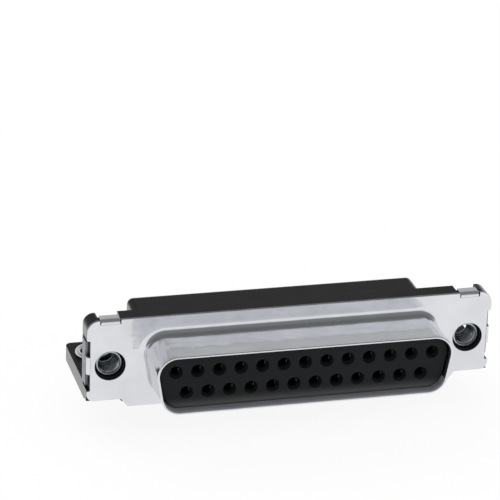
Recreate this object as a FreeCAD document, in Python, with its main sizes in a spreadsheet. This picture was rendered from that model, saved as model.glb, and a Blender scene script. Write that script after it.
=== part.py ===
import FreeCAD, Part
import os
import re

import Sketcher

# A right-angle receptacle connector for the edge of a circuit board, with a D-shaped metal shell.
# Frame: X to the right seen from the mating side, Y rearward, Z up. The origin is the centre of the
# D opening, on the front face of the metal flange. Lengths are millimetres, angles degrees.

# Driving sizes: name in the sheet, value, meaning
SIZES = (
    # Metal front shell
    ("sheet_gauge", 0.40, "thickness of the shell's sheet steel"),
    ("end_margin", 3.0, "from a fixing hole's centre to the flange's end"),
    ("flange_top", 6.28, "height of the flange's top edge"),
    ("flange_drop", 5.85, "depth of the flange's bottom edge in the middle"),
    ("end_drop", 4.75, "depth of the flange's bottom edge at its ends"),
    ("lip_margin", 2.05, "how far the deep middle of the bottom edge reaches beyond the D's side"),
    ("lip_slant", 0.85, "run of the slant from the deep middle to the ends"),
    ("top_round", 1.6, "rounding of the flange's top corners"),
    ("bottom_round", 1.0, "rounding of the flange's bottom corners"),
    ("fixing_margin", 4.37, "from the D's side to a fixing hole's centre"),
    ("fixing_hole", 3.95, "diameter of the flange's fixing holes"),
    ("shroud_margin", 2.53, "from the outermost contact of the upper row to the D's side"),
    ("shroud_height", 7.9, "outside height of the D shroud"),
    ("shroud_slope", 10, "slope of the D's sides"),
    ("shroud_round", 2.6, "outside corner radius of the D"),
    ("shroud_depth", 7.3, "how far the shroud stands out in front of the flange"),
    ("face_recess", 1.0, "how far the insulator's face lies inside the shroud's rim"),
    ("root_round", 1.0, "drawn radius where the shroud leaves the flange"),
    ("rim_bevel", 0.12, "bevel of the shroud's outer rim"),
    ("tab_width", 2.15, "width of the folded top tabs"),
    ("tab_bend", 0.6, "outer bend radius of the top tabs"),
    ("tab_reach", 2.9, "how far the top tabs reach behind the flange's face"),
    ("tab_relief", 0.3, "width of the cuts beside a top tab"),
    ("ear_height", 2.45, "height of the folded end tabs"),
    ("ear_centre", 0.12, "height of the end tabs' middle"),
    ("ear_relief", 2.2, "height of the cuts above and below an end tab"),
    ("ear_bend", 0.45, "outer bend radius of the end tabs"),
    ("ear_reach", 2.5, "how far the end tabs reach behind the flange's face"),
    # Contact field
    ("pitch", 2.77, "distance between neighbouring contacts of a row"),
    ("row_gap", 2.84, "distance between the two rows"),
    ("upper_ways", 13, "contacts of the upper row"),
    ("lower_ways", 12, "contacts of the lower row"),
    ("seat_gap", 0.05, "clearance between pieces that fit into each other"),
    # Front insulator
    ("collar_room", 0.745, "from the insulator's collar to the nose of a threaded insert"),
    ("collar_height", 10.4, "height of the insulator's collar"),
    ("collar_depth", 1.0, "thickness of the insulator's collar"),
    ("collar_round", 1.5, "corner radius of the insulator's collar"),
    ("entry_width", 1.5, "diameter of the bores at the mating face"),
    ("entry_depth", 0.85, "depth of the wall in front of the contacts"),
    ("cavity_width", 1.5, "width of the cavity behind a funnel"),
    ("cavity_height", 1.3, "height of the cavity behind a funnel"),
    # Rear housing
    ("wall_depth", 2.6, "thickness of the housing's front wall"),
    ("wall_top", 6.1, "height of the front wall"),
    ("wall_drop", 5.6, "depth of the front wall in the middle"),
    ("side_step", 0.05, "how far the housing's ends stand inside the flange's ends"),
    ("wall_round", 1.3, "rounding of the front wall's top corners"),
    ("block_margin", 0.05, "how far the contact block stays inside the D's side"),
    ("block_top", 4.2, "height of the contact block"),
    ("block_rear", 11.4, "rear face of the contact block"),
    ("block_round", 1.0, "rounding of the block's rear top edge"),
    ("block_end_round", 0.8, "rounding of the block's top edges at its two ends"),
    ("plate_top", -3.0, "top of the end plates"),
    ("plate_under", -5.1, "underside of the end plates and the comb"),
    ("plate_rear", 13.9, "rear edge of the end plates"),
    ("plate_margin", 0.15, "from the D's side to the inner side of an end plate"),
    ("plate_round", 0.8, "rounding of the end plates' rear corners"),
    ("stop_width", 1.4, "width of the small block behind each end plate"),
    ("stop_depth", 0.35, "how far that block stands behind the plate"),
    ("comb_top", -3.3, "top of the comb's fingers"),
    ("comb_rear", 12.4, "rear end of the comb's fingers"),
    ("comb_chamfer", 0.35, "chamfer of the fingers' rear corners"),
    ("slot_width", 0.87, "width of the open slots between the fingers"),
    ("slot_ceiling", -0.9, "ceiling of the open slots"),
    ("groove_width", 0.75, "width of the grooves and channels round the tails"),
    ("groove_top", 2.1, "top of those grooves"),
    ("pocket_side", 1.0, "how far the relief beside a tail reaches sideways"),
    ("pocket_floor", 0.75, "floor of the relief beside a tail"),
    ("channel_height", 0.5, "height of the channels for the contacts' shanks"),
    # Contacts
    ("beam_gauge", 0.22, "thickness of a contact's two spring beams"),
    ("beam_height", 0.9, "height of the spring beams"),
    ("beam_grip", 0.86, "distance between the beams where they grip a pin"),
    ("beam_grip_depth", 1.0, "distance of that place behind the beams' tips"),
    ("base_rear", 1.2, "rear end of the contact's base"),
    ("base_front", -0.2, "front end of the contact's base, between the beams"),
    ("tail_width", 0.55, "width of a contact's shank and tail"),
    ("tail_gauge", 0.3, "thickness of a contact's shank and tail"),
    ("tail_bend", 0.6, "outer bend radius of a tail"),
    ("tail_tip", -9.6, "height of the tails' tips"),
    ("tip_bevel", 0.1, "bevel of the tails' tips"),
    ("near_row", 8.08, "distance of the lower contacts' tails behind the flange's face"),
    ("far_row", 10.92, "distance of the upper contacts' tails behind the flange's face"),
    # Threaded inserts
    ("hex_width", 4.8, "width across the flats of an insert's collar"),
    ("hex_depth", 1.4, "thickness of an insert's collar"),
    ("hex_chamfer", 0.3, "chamfer of the collar's outer edge"),
    ("nose_width", 3.55, "diameter of an insert's nose"),
    ("nose_front", 0.8, "front end of an insert's nose"),
    ("thread_bore", 2.3, "minor diameter of the insert's thread"),
    ("thread_mouth", 0.3, "chamfer at the rear mouth of the thread"),
    # Board fixing
    ("lock_line", 10.2, "distance of the board locks behind the flange's face"),
    ("ring_width", 4.7, "outside diameter of an eyelet's ring"),
    ("ring_bore", 3.6, "inside diameter of an eyelet"),
    ("ring_height", 0.55, "how far an eyelet's ring stands above the end plate"),
    ("tube_width", 3.95, "outside diameter of an eyelet's tube"),
    ("post_width", 2.6, "width of a board lock's square post"),
    ("post_round", 0.6, "corner radius of the post"),
    ("post_wall", 0.25, "wall of the post"),
    ("post_top", -2.8, "open top of the post"),
    ("post_tip", -8.9, "lower end of the post's prongs"),
    ("prong_slit", 0.6, "width of the slits between the prongs"),
    ("prong_root", -5.9, "upper end of the slits between the prongs"),
    ("barb_top", -7.05, "height of the barbs' shoulders"),
    ("barb_height", 0.9, "height of a barb"),
    ("barb_reach", 0.4, "how far a barb stands out of its prong"),
    ("barb_width", 1.2, "width of a barb"),
    ("foot_gauge", 0.3, "thickness of a board lock's foot plate"),
    ("foot_width", 4.8, "width of the foot plate"),
    ("foot_front", 6.1, "front edge of the foot plate"),
    ("foot_rear", 12.7, "rear edge of the foot plate"),
    ("foot_bevel", 0.5, "bevel of the foot plate's corners"),
    ("tongue_width", 2.2, "width of the serrated tongue"),
    ("tongue_front", 6.6, "front face of the tongue"),
    ("tongue_tip", -2.95, "height of the tongue's teeth"),
    ("tongue_teeth", 4, "teeth on the tongue"),
    ("tooth_height", 0.4, "height of a tooth"),
    ("tongue_room", 0.2, "clearance in front of and behind the tongue in its slot"),
)

# Places that several pieces share, worked out from the driving sizes
HALF_SHROUD = "((upper_ways - 1) / 2 * pitch + shroud_margin)"
FIXING = "(%s + fixing_margin)" % HALF_SHROUD
HALF_FLANGE = "(%s + end_margin)" % FIXING
HALF_WALL = "(%s - side_step)" % HALF_FLANGE
HALF_LIP = "(%s + lip_margin)" % HALF_SHROUD
HALF_COLLAR = "(%s - nose_width / 2 - collar_room)" % FIXING
HALF_BLOCK = "(%s - block_margin)" % HALF_SHROUD
PLATE_INNER = "(%s + plate_margin)" % HALF_SHROUD
FACE_DEPTH = "(shroud_depth - face_recess)"
WALL_REAR = "(sheet_gauge + wall_depth)"
RECESS_FLOOR = "(sheet_gauge + collar_depth + seat_gap)"
UPPER_ROW = "row_gap / 2"
LOWER_ROW = "-row_gap / 2"
UPPER_START = "-(upper_ways - 1) / 2 * pitch"
LOWER_START = "-(lower_ways - 1) / 2 * pitch"
SLOT_START = "-upper_ways / 2 * pitch"
BEAM_FRONT = "(entry_depth + seat_gap - %s)" % FACE_DEPTH
BEAM_SIDE = "(cavity_width / 2 - seat_gap)"
GROOVE_FRONT = "(far_row + tail_gauge / 2 - tail_bend)"
SLOT_FRONT = "(near_row + tail_gauge / 2 - tail_bend)"
TOUCH = 1e-3

document = FreeCAD.newDocument("Connector")
sheet = document.addObject("Spreadsheet::Sheet", "Sizes")
for row, (alias, value, meaning) in enumerate(SIZES, start=1):
    sheet.set("A%d" % row, alias)
    sheet.set("B%d" % row, str(value))
    sheet.set("C%d" % row, meaning)
    sheet.setAlias("B%d" % row, alias)
document.recompute()

ALIASES = re.compile(r"\b(%s)\b" % "|".join(alias for alias, value, meaning in SIZES))


def cells(text):
    """Writes an expression of size names with the sheet's name before each of them."""
    return ALIASES.sub(r"Sizes.\1", str(text))


def size(text):
    """Works out an expression of size names as a number."""
    answer = sheet.evalExpression(cells(text))
    return float(getattr(answer, "Value", answer))


def bind(thing, attribute, text):
    """Ties one property of an object to an expression of size names."""
    thing.setExpression(attribute, cells(text))


def role(body, name):
    """Finds one of a body's own origin planes or axes."""
    return next(part for part in body.Origin.OriginFeatures if part.Role == name)


def new_body(label, x="0", y="0", z="0"):
    """Starts a sub-part, placed at the given distances from the origin."""
    body = document.addObject("PartDesign::Body", label)
    body.Label = label
    for axis, text in (("x", x), ("y", y), ("z", z)):
        bind(body, "Placement.Base.%s" % axis, text)
    return body


def new_sketch(body, name, plane, station="0", start="0"):
    """Lays a sketch on a body's own plane, moved along its normal to station and along its X to start."""
    sketch = body.newObject("Sketcher::SketchObject", name)
    sketch.AttachmentSupport = [(role(body, plane), "")]
    sketch.MapMode = "FlatFace"
    along = "-(%s)" % station if plane == "XZ_Plane" else station
    bind(sketch, "AttachmentOffset.Base.z", along)
    bind(sketch, "AttachmentOffset.Base.x", start)
    return sketch


def hold(sketch, kind, geometry, point, text):
    """Holds one point of a sketch at a distance from its origin."""
    index = sketch.addConstraint(Sketcher.Constraint(kind, -1, 1, geometry, point, size(text)))
    sketch.setExpression("Constraints[%d]" % index, cells(text))


def arc_between(start, end, radius, turn):
    """Makes the short arc of a radius from one point to another, turning left or right."""
    chord = end - start
    half = chord.Length / 2
    rise = max(radius * radius - half * half, 0.0) ** 0.5
    side = FreeCAD.Vector(-chord.y, chord.x, 0).normalize() * (rise if turn == "left" else -rise)
    centre = start + chord * 0.5 + side
    outward = (start + chord * 0.5 - centre)
    if outward.Length < TOUCH:
        outward = FreeCAD.Vector(chord.y, -chord.x, 0) * (1 if turn == "left" else -1)
    middle = centre + outward.normalize() * radius
    return Part.Arc(start, middle, end)


def outline(sketch, corners):
    """Closes an outline through corners (x, y), or (x, y, radius, turn) where an arc leads there."""
    points = [FreeCAD.Vector(size(corner[0]), size(corner[1]), 0) for corner in corners]
    first = sketch.GeometryCount
    arcs = []
    for index, corner in enumerate(corners):
        start = points[index - 1]
        if len(corner) == 2:
            sketch.addGeometry(Part.LineSegment(start, points[index]))
            arcs.append(False)
        else:
            arc = arc_between(start, points[index], size(corner[2]), corner[3])
            sketch.addGeometry(arc)
            arcs.append(True)
    # An arc of a sketch always runs to the left, so one that turns right has its ends exchanged
    ends = [(2, 1) if arcs[i] and corners[i][3] == "right" else (1, 2) for i in range(len(corners))]
    for index, corner in enumerate(corners):
        after = (index + 1) % len(corners)
        joint = Sketcher.Constraint(
            "Coincident", first + index, ends[index][1], first + after, ends[after][0]
        )
        sketch.addConstraint(joint)
        hold(sketch, "DistanceX", first + index, ends[index][1], corner[0])
        hold(sketch, "DistanceY", first + index, ends[index][1], corner[1])
        if arcs[index]:
            radius = Sketcher.Constraint("Radius", first + index, size(corner[2]))
            number = sketch.addConstraint(radius)
            sketch.setExpression("Constraints[%d]" % number, cells(corner[2]))


def mirrored(corners):
    """Completes the right half of an outline, given from top to bottom, with its mirror image."""
    return list(corners) + [("-(%s)" % x, z) for x, z in reversed(corners)]


def rectangle(sketch, left, right, low, high):
    """Draws a rectangle between its four sides."""
    outline(sketch, [(left, low), (right, low), (right, high), (left, high)])


def circle(sketch, x, y, diameter):
    """Draws a circle about a point."""
    centre = FreeCAD.Vector(size(x), size(y), 0)
    round_line = Part.Circle(centre, FreeCAD.Vector(0, 0, 1), size(diameter) / 2)
    geometry = sketch.addGeometry(round_line)
    hold(sketch, "DistanceX", geometry, 3, x)
    hold(sketch, "DistanceY", geometry, 3, y)
    number = sketch.addConstraint(Sketcher.Constraint("Diameter", geometry, size(diameter)))
    sketch.setExpression("Constraints[%d]" % number, cells(diameter))


def d_outline(sketch, inset):
    """Draws the D: sides that lean in towards the bottom, and four round corners."""
    radius = "(shroud_round - (%s))" % inset
    top = "(shroud_height / 2 - (%s))" % inset
    wide = "(%s - shroud_round)" % HALF_SHROUD
    level = "(shroud_height / 2 - shroud_round)"
    narrow = "(%s - 2 * %s * tan(shroud_slope))" % (wide, level)
    reach = "%s * cos(shroud_slope)" % radius
    drop = "%s * sin(shroud_slope)" % radius
    outline(
        sketch,
        [
            (wide, top),
            ("%s + %s" % (wide, reach), "%s - %s" % (level, drop), radius, "right"),
            ("%s + %s" % (narrow, reach), "-%s - %s" % (level, drop)),
            (narrow, "-" + top, radius, "right"),
            ("-" + narrow, "-" + top),
            ("-%s - %s" % (narrow, reach), "-%s - %s" % (level, drop), radius, "right"),
            ("-%s - %s" % (wide, reach), "%s - %s" % (level, drop)),
            ("-" + wide, top, radius, "right"),
        ],
    )


def finish_feature(body, feature):
    """Makes a feature the body's tip and works it out."""
    body.Tip = feature
    document.recompute()
    return feature


def pad(body, name, sketch, length, towards="front"):
    """Raises a sketch along its normal, or the other way with towards set to back."""
    feature = body.newObject("PartDesign::Pad", name)
    feature.Profile = sketch
    bind(feature, "Length", length)
    feature.Reversed = towards == "back"
    feature.Midplane = towards == "both"
    return finish_feature(body, feature)


def check_cut(body, feature, before):
    """Stops the build where a cut has taken nothing away."""
    if feature.Shape.Volume > before - TOUCH:
        raise RuntimeError("%s in %s cuts nothing" % (feature.Label, body.Label))


def pocket(body, name, sketch, length, towards="front"):
    """Cuts a sketch into the body against its normal, or along it with towards set to back."""
    before = body.Shape.Volume
    feature = body.newObject("PartDesign::Pocket", name)
    feature.Profile = sketch
    bind(feature, "Length", length)
    feature.Reversed = towards == "back"
    feature.Midplane = towards == "both"
    finish_feature(body, feature)
    check_cut(body, feature, before)
    return feature


def groove(body, name, sketch):
    """Turns a profile about its sketch's vertical axis and cuts it away."""
    before = body.Shape.Volume
    feature = body.newObject("PartDesign::Groove", name)
    feature.Profile = sketch
    feature.ReferenceAxis = (sketch, ["V_Axis"])
    feature.Angle = 360
    finish_feature(body, feature)
    check_cut(body, feature, before)
    return feature


def revolve(body, name, sketch):
    """Turns a profile about its sketch's vertical axis."""
    feature = body.newObject("PartDesign::Revolution", name)
    feature.Profile = sketch
    feature.ReferenceAxis = (sketch, ["V_Axis"])
    feature.Angle = 360
    return finish_feature(body, feature)


def repeat(body, name, feature, copies):
    """Repeats a feature along X at the contacts' pitch."""
    pattern = body.newObject("PartDesign::LinearPattern", name)
    pattern.Originals = [feature]
    pattern.Direction = (role(body, "X_Axis"), [""])
    pattern.Mode = "Spacing"
    bind(pattern, "Offset", "pitch")
    bind(pattern, "Occurrences", copies)
    return finish_feature(body, pattern)


def both_ends(body, name, feature):
    """Mirrors a feature to the connector's other end."""
    mirror = body.newObject("PartDesign::Mirrored", name)
    mirror.Originals = [feature]
    mirror.MirrorPlane = (role(body, "YZ_Plane"), [""])
    return finish_feature(body, mirror)


def box_of(edge):
    """Gives an edge's lowest and highest corner."""
    bounds = edge.BoundBox
    return (bounds.XMin, bounds.YMin, bounds.ZMin), (bounds.XMax, bounds.YMax, bounds.ZMax)


def edges_inside(feature, low, high):
    """Names a feature's edges that lie wholly inside a box."""
    names = []
    for index, edge in enumerate(feature.Shape.Edges, start=1):
        start, end = box_of(edge)
        above = all(a > b - TOUCH for a, b in zip(start, low))
        below = all(a < b + TOUCH for a, b in zip(end, high))
        if above and below:
            names.append("Edge%d" % index)
    return names


def dress(body, kind, name, low, high, amount):
    """Rounds or bevels the edges that lie wholly inside a box."""
    base = body.Tip
    names = edges_inside(base, low, high)
    if not names:
        raise RuntimeError("%s in %s finds no edge" % (name, body.Label))
    feature = body.newObject("PartDesign::" + kind, name)
    feature.Base = (base, names)
    bind(feature, "Radius" if kind == "Fillet" else "Size", amount)
    return finish_feature(body, feature)


def make_front_shell():
    """The metal shell: flange, drawn D shroud, fixing holes and folded tabs."""
    body = new_body("front_shell")
    face = new_sketch(body, "FlangeOutline", "XZ_Plane", "sheet_gauge")
    tab_side = "%s - tab_width / 2 - tab_relief" % FIXING
    tab_end = "%s + tab_width / 2 + tab_relief" % FIXING
    ear_top = "ear_centre + ear_height / 2 + ear_relief"
    ear_low = "ear_centre - ear_height / 2 - ear_relief"
    right = [
        (tab_side, "flange_top"),
        (tab_side, "flange_top - tab_bend"),
        (tab_end, "flange_top - tab_bend"),
        (tab_end, "flange_top"),
        (HALF_FLANGE, "flange_top"),
        (HALF_FLANGE, ear_top),
        (HALF_FLANGE + " - ear_bend", ear_top),
        (HALF_FLANGE + " - ear_bend", ear_low),
        (HALF_FLANGE, ear_low),
        (HALF_FLANGE, "-end_drop"),
        (HALF_LIP + " + lip_slant", "-end_drop"),
        (HALF_LIP, "-flange_drop"),
    ]
    outline(face, mirrored(right))
    for side in (FIXING, "-" + FIXING):
        circle(face, side, "0", "fixing_hole")
    pad(body, "Flange", face, "sheet_gauge")

    half, top, low = size(HALF_FLANGE), size("flange_top"), -size("end_drop")
    gauge = size("sheet_gauge")
    for name, height, amount in (("TopCorner", top, "top_round"), ("BottomCorner", low, "bottom_round")):
        for side in (-half, half):
            dress(body, "Fillet", name, (side, 0, height), (side, gauge, height), amount)

    tab = new_sketch(body, "TabProfile", "YZ_Plane", FIXING)
    folded = [
        ("0", "flange_top - tab_bend"),
        ("tab_bend", "flange_top", "tab_bend", "right"),
        ("tab_reach", "flange_top"),
        ("tab_reach", "flange_top - sheet_gauge"),
        ("tab_bend", "flange_top - sheet_gauge"),
        ("sheet_gauge", "flange_top - tab_bend", "tab_bend - sheet_gauge", "left"),
    ]
    outline(tab, folded)
    both_ends(body, "TopTabs", pad(body, "TopTab", tab, "tab_width", "both"))

    ear = new_sketch(body, "EarProfile", "XY_Plane", "ear_centre")
    folded = [
        (HALF_FLANGE + " - ear_bend", "0"),
        (HALF_FLANGE, "ear_bend", "ear_bend", "left"),
        (HALF_FLANGE, "ear_reach"),
        (HALF_FLANGE + " - sheet_gauge", "ear_reach"),
        (HALF_FLANGE + " - sheet_gauge", "ear_bend"),
        (HALF_FLANGE + " - ear_bend", "sheet_gauge", "ear_bend - sheet_gauge", "right"),
    ]
    outline(ear, folded)
    both_ends(body, "EndTabs", pad(body, "EndTab", ear, "ear_height", "both"))

    shroud = new_sketch(body, "ShroudOutline", "XZ_Plane")
    d_outline(shroud, "0")
    pad(body, "Shroud", shroud, "shroud_depth")
    wide, tall, deep = size(HALF_SHROUD), size("shroud_height / 2"), size("shroud_depth")
    dress(body, "Fillet", "Root", (-wide, 0, -tall), (wide, 0, tall), "root_round")
    dress(body, "Chamfer", "Rim", (-wide, -deep, -tall), (wide, -deep, tall), "rim_bevel")

    opening = new_sketch(body, "OpeningOutline", "XZ_Plane", "sheet_gauge")
    d_outline(opening, "sheet_gauge")
    pocket(body, "Opening", opening, "2 * (shroud_depth + sheet_gauge + 1)", "both")
    return body


def make_front_insulator():
    """The black insert that fills the shroud and guides the mating pins to the contacts."""
    body = new_body("front_insulator")
    face = new_sketch(body, "InsertOutline", "XZ_Plane", "sheet_gauge")
    d_outline(face, "sheet_gauge + seat_gap")
    pad(body, "Insert", face, "sheet_gauge + %s" % FACE_DEPTH)
    collar = new_sketch(body, "CollarOutline", "XZ_Plane", "sheet_gauge")
    rectangle(collar, "-" + HALF_COLLAR, HALF_COLLAR, "-collar_height / 2", "collar_height / 2")
    pad(body, "Collar", collar, "collar_depth", "back")
    front, rear = size("sheet_gauge"), size("sheet_gauge + collar_depth")
    for side in (-1, 1):
        for end in (-1, 1):
            x, z = side * size(HALF_COLLAR), end * size("collar_height / 2")
            dress(body, "Fillet", "CollarCorner", (x, front, z), (x, rear, z), "collar_round")
    rows = (
        ("Upper", UPPER_ROW, UPPER_START, "upper_ways"),
        ("Lower", LOWER_ROW, LOWER_START, "lower_ways"),
    )
    for name, height, start, ways in rows:
        bore = new_sketch(body, name + "BoreOutline", "XZ_Plane", "-" + FACE_DEPTH, start)
        circle(bore, "0", height, "entry_width")
        repeat(body, name + "Bores", pocket(body, name + "Bore", bore, "entry_depth"), ways)
        cavity = new_sketch(body, name + "CavityOutline", "XZ_Plane", "sheet_gauge + collar_depth", start)
        low, high = "%s - cavity_height / 2" % height, "%s + cavity_height / 2" % height
        rectangle(cavity, "-cavity_width / 2", "cavity_width / 2", low, high)
        depth = "sheet_gauge + collar_depth + %s - entry_depth" % FACE_DEPTH
        cut = pocket(body, name + "Cavity", cavity, depth, "back")
        repeat(body, name + "Cavities", cut, ways)
    return body


def make_rear_housing():
    """The black moulding: front wall, contact block, comb and the two end plates in one piece."""
    body = new_body("rear_housing")
    wall = new_sketch(body, "WallOutline", "XZ_Plane", "sheet_gauge")
    seat = "flange_top - sheet_gauge - seat_gap"
    seat_side = "(tab_width / 2 + seat_gap)"
    right = [
        ("%s - %s" % (FIXING, seat_side), "wall_top"),
        ("%s - %s" % (FIXING, seat_side), seat),
        ("%s + %s" % (FIXING, seat_side), seat),
        ("%s + %s" % (FIXING, seat_side), "wall_top"),
        (HALF_WALL, "wall_top"),
        (HALF_WALL, "plate_under"),
        (HALF_LIP + " + lip_slant", "plate_under"),
        (HALF_LIP, "-wall_drop"),
    ]
    outline(wall, mirrored(right))
    pad(body, "Wall", wall, "wall_depth", "back")
    half, top, front, back = size(HALF_WALL), size("wall_top"), size("sheet_gauge"), size(WALL_REAR)
    for side in (-half, half):
        dress(body, "Fillet", "WallCorner", (side, front, top), (side, back, top), "wall_round")

    side, level = size("%s + %s" % (FIXING, seat_side)), size(seat)
    inner = size("%s - %s" % (FIXING, seat_side))
    for left, right in ((-side, -inner), (inner, side)):
        low, high = (left, front, level), (right, front, level)
        dress(body, "Chamfer", "TabSeat", low, high, "tab_bend - sheet_gauge")

    recess = new_sketch(body, "RecessOutline", "XZ_Plane", "sheet_gauge")
    wide, tall = HALF_COLLAR + " + seat_gap", "collar_height / 2 + seat_gap"
    rectangle(recess, "-(%s)" % wide, wide, "-(%s)" % tall, tall)
    pocket(body, "Recess", recess, "collar_depth + seat_gap")

    ears = new_sketch(body, "EarSeats", "XZ_Plane", "sheet_gauge")
    rise = "(ear_height / 2 + ear_relief)"
    inside = HALF_FLANGE + " - sheet_gauge - seat_gap"
    for sign in ("", "-"):
        outline(ears, [
            ("%s(%s)" % (sign, inside), "ear_centre - " + rise),
            ("%s(%s + 1)" % (sign, HALF_FLANGE), "ear_centre - " + rise),
            ("%s(%s + 1)" % (sign, HALF_FLANGE), "ear_centre + " + rise),
            ("%s(%s)" % (sign, inside), "ear_centre + " + rise),
        ])
    pocket(body, "EarSeat", ears, "ear_reach - sheet_gauge + seat_gap")

    ends = new_sketch(body, "PlateOutline", "XY_Plane", "plate_under")
    for sign in ("", "-"):
        corners = [
            (PLATE_INNER, WALL_REAR),
            (HALF_WALL, WALL_REAR),
            (HALF_WALL, "plate_rear"),
            (PLATE_INNER + " + stop_width", "plate_rear"),
            (PLATE_INNER + " + stop_width", "plate_rear + stop_depth"),
            (PLATE_INNER, "plate_rear + stop_depth"),
        ]
        outline(ends, [("%s(%s)" % (sign, x), y) for x, y in corners])
    pad(body, "EndPlates", ends, "plate_top - plate_under")
    rear, low, high = size("plate_rear"), size("plate_under"), size("plate_top")
    for side in (-half, half):
        dress(body, "Fillet", "PlateCorner", (side, rear, low), (side, rear, high), "plate_round")

    comb = new_sketch(body, "CombOutline", "XY_Plane", "plate_under")
    rectangle(comb, "-" + PLATE_INNER, PLATE_INNER, WALL_REAR, "comb_rear")
    pad(body, "Comb", comb, "comb_top - plate_under")
    block = new_sketch(body, "BlockOutline", "XY_Plane", "plate_under")
    rectangle(block, "-" + HALF_BLOCK, HALF_BLOCK, WALL_REAR, "block_rear")
    pad(body, "Block", block, "block_top - plate_under")
    side, deep, top = size(HALF_BLOCK), size("block_rear"), size("block_top")
    dress(body, "Fillet", "BlockRear", (-side, deep, top), (side, deep, top), "block_round")
    low = top - size("block_round")
    for end in (-side, side):
        dress(body, "Fillet", "BlockEnd", (end, back, low), (end, deep, top), "block_end_round")

    pocket_low = "groove_top - pocket_floor"
    slots = new_sketch(body, "SlotOutline", "XY_Plane", "plate_under", SLOT_START)
    slot = [
        ("slot_width / 2", SLOT_FRONT),
        ("slot_width / 2", "comb_rear - comb_chamfer"),
        ("slot_width / 2 + comb_chamfer", "comb_rear"),
        ("slot_width / 2 + comb_chamfer", "comb_rear + 1"),
    ]
    outline(slots, mirrored(slot))
    cut = pocket(body, "Slot", slots, "slot_ceiling - plate_under", "back")
    repeat(body, "Slots", cut, "upper_ways + 1")

    tails = new_sketch(body, "GrooveOutline", "XY_Plane", "plate_under", UPPER_START)
    rectangle(tails, "-groove_width / 2", "groove_width / 2", GROOVE_FRONT, "comb_rear + 1")
    cut = pocket(body, "TailGroove", tails, "groove_top - plate_under", "back")
    repeat(body, "TailGrooves", cut, "upper_ways")

    relief = new_sketch(body, "ReliefOutline", "XY_Plane", "pocket_floor", UPPER_START)
    rectangle(relief, "0", "pocket_side", GROOVE_FRONT, "comb_rear + 1")
    cut = pocket(body, "TailRelief", relief, pocket_low, "back")
    repeat(body, "TailReliefs", cut, "upper_ways")

    rows = (
        ("Upper", UPPER_ROW, UPPER_START, "upper_ways", GROOVE_FRONT),
        ("Lower", LOWER_ROW, LOWER_START, "lower_ways", SLOT_FRONT),
    )
    for name, height, start, ways, end in rows:
        channel = new_sketch(body, name + "ChannelOutline", "XZ_Plane", RECESS_FLOOR, start)
        low, high = "%s - channel_height / 2" % height, "%s + channel_height / 2" % height
        rectangle(channel, "-groove_width / 2", "groove_width / 2", low, high)
        cut = pocket(body, name + "Channel", channel, "%s - %s" % (end, RECESS_FLOOR))
        repeat(body, name + "Channels", cut, ways)

    nose = new_sketch(body, "InsertHoles", "XZ_Plane", "sheet_gauge")
    eyelet = new_sketch(body, "EyeletHoles", "XY_Plane", "plate_under")
    tongue = new_sketch(body, "TongueSlots", "XY_Plane", "plate_under")
    for sign in ("", "-"):
        place = sign + FIXING
        circle(nose, place, "0", "nose_width + 2 * seat_gap")
        circle(eyelet, place, "lock_line", "tube_width + 2 * seat_gap")
        rectangle(tongue, place + " - tongue_width / 2 - seat_gap", place + " + tongue_width / 2 + seat_gap",
                  "tongue_front - tongue_room", "tongue_front + foot_gauge + tongue_room")
    pocket(body, "InsertHole", nose, "wall_depth")
    pocket(body, "EyeletHole", eyelet, "plate_top - plate_under", "back")
    pocket(body, "TongueSlot", tongue, "plate_top - plate_under", "back")
    return body


def make_contact(number, place, height, distance):
    """One stamped contact: two spring beams in front, a flat shank, and a tail bent down to the board."""
    body = new_body("contact_%02d" % number, x=place)
    fork = new_sketch(body, "BeamOutline", "XY_Plane", height)
    grip = "%s + beam_grip_depth" % BEAM_FRONT
    right = [
        (BEAM_SIDE + " - beam_gauge", BEAM_FRONT),
        (BEAM_SIDE, BEAM_FRONT),
        ("beam_grip / 2 + beam_gauge", grip),
        (BEAM_SIDE, "base_front"),
        (BEAM_SIDE, "base_rear"),
    ]
    left = [("-(%s)" % x, y) for x, y in reversed(right)]
    inner = [
        ("-beam_grip / 2", grip),
        ("-(%s - beam_gauge)" % BEAM_SIDE, "base_front"),
        (BEAM_SIDE + " - beam_gauge", "base_front"),
        ("beam_grip / 2", grip),
    ]
    outline(fork, right + left + inner)
    pad(body, "Beams", fork, "beam_height", "both")
    strip = new_sketch(body, "TailProfile", "YZ_Plane")
    top = "%s + tail_gauge / 2" % height
    under = "%s - tail_gauge / 2" % height
    rear = "%s + tail_gauge / 2" % distance
    front = "%s - tail_gauge / 2" % distance
    path = [
        ("base_front", top),
        ("%s - tail_bend" % rear, top),
        (rear, "%s - tail_bend" % top, "tail_bend", "right"),
        (rear, "tail_tip + tip_bevel"),
        ("%s - tip_bevel" % rear, "tail_tip"),
        ("%s + tip_bevel" % front, "tail_tip"),
        (front, "tail_tip + tip_bevel"),
        (front, "%s - tail_bend" % top),
        ("%s - tail_bend" % rear, under),
        ("base_front", under),
    ]
    outline(strip, path)
    pad(body, "Tail", strip, "tail_width", "both")
    return body


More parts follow.
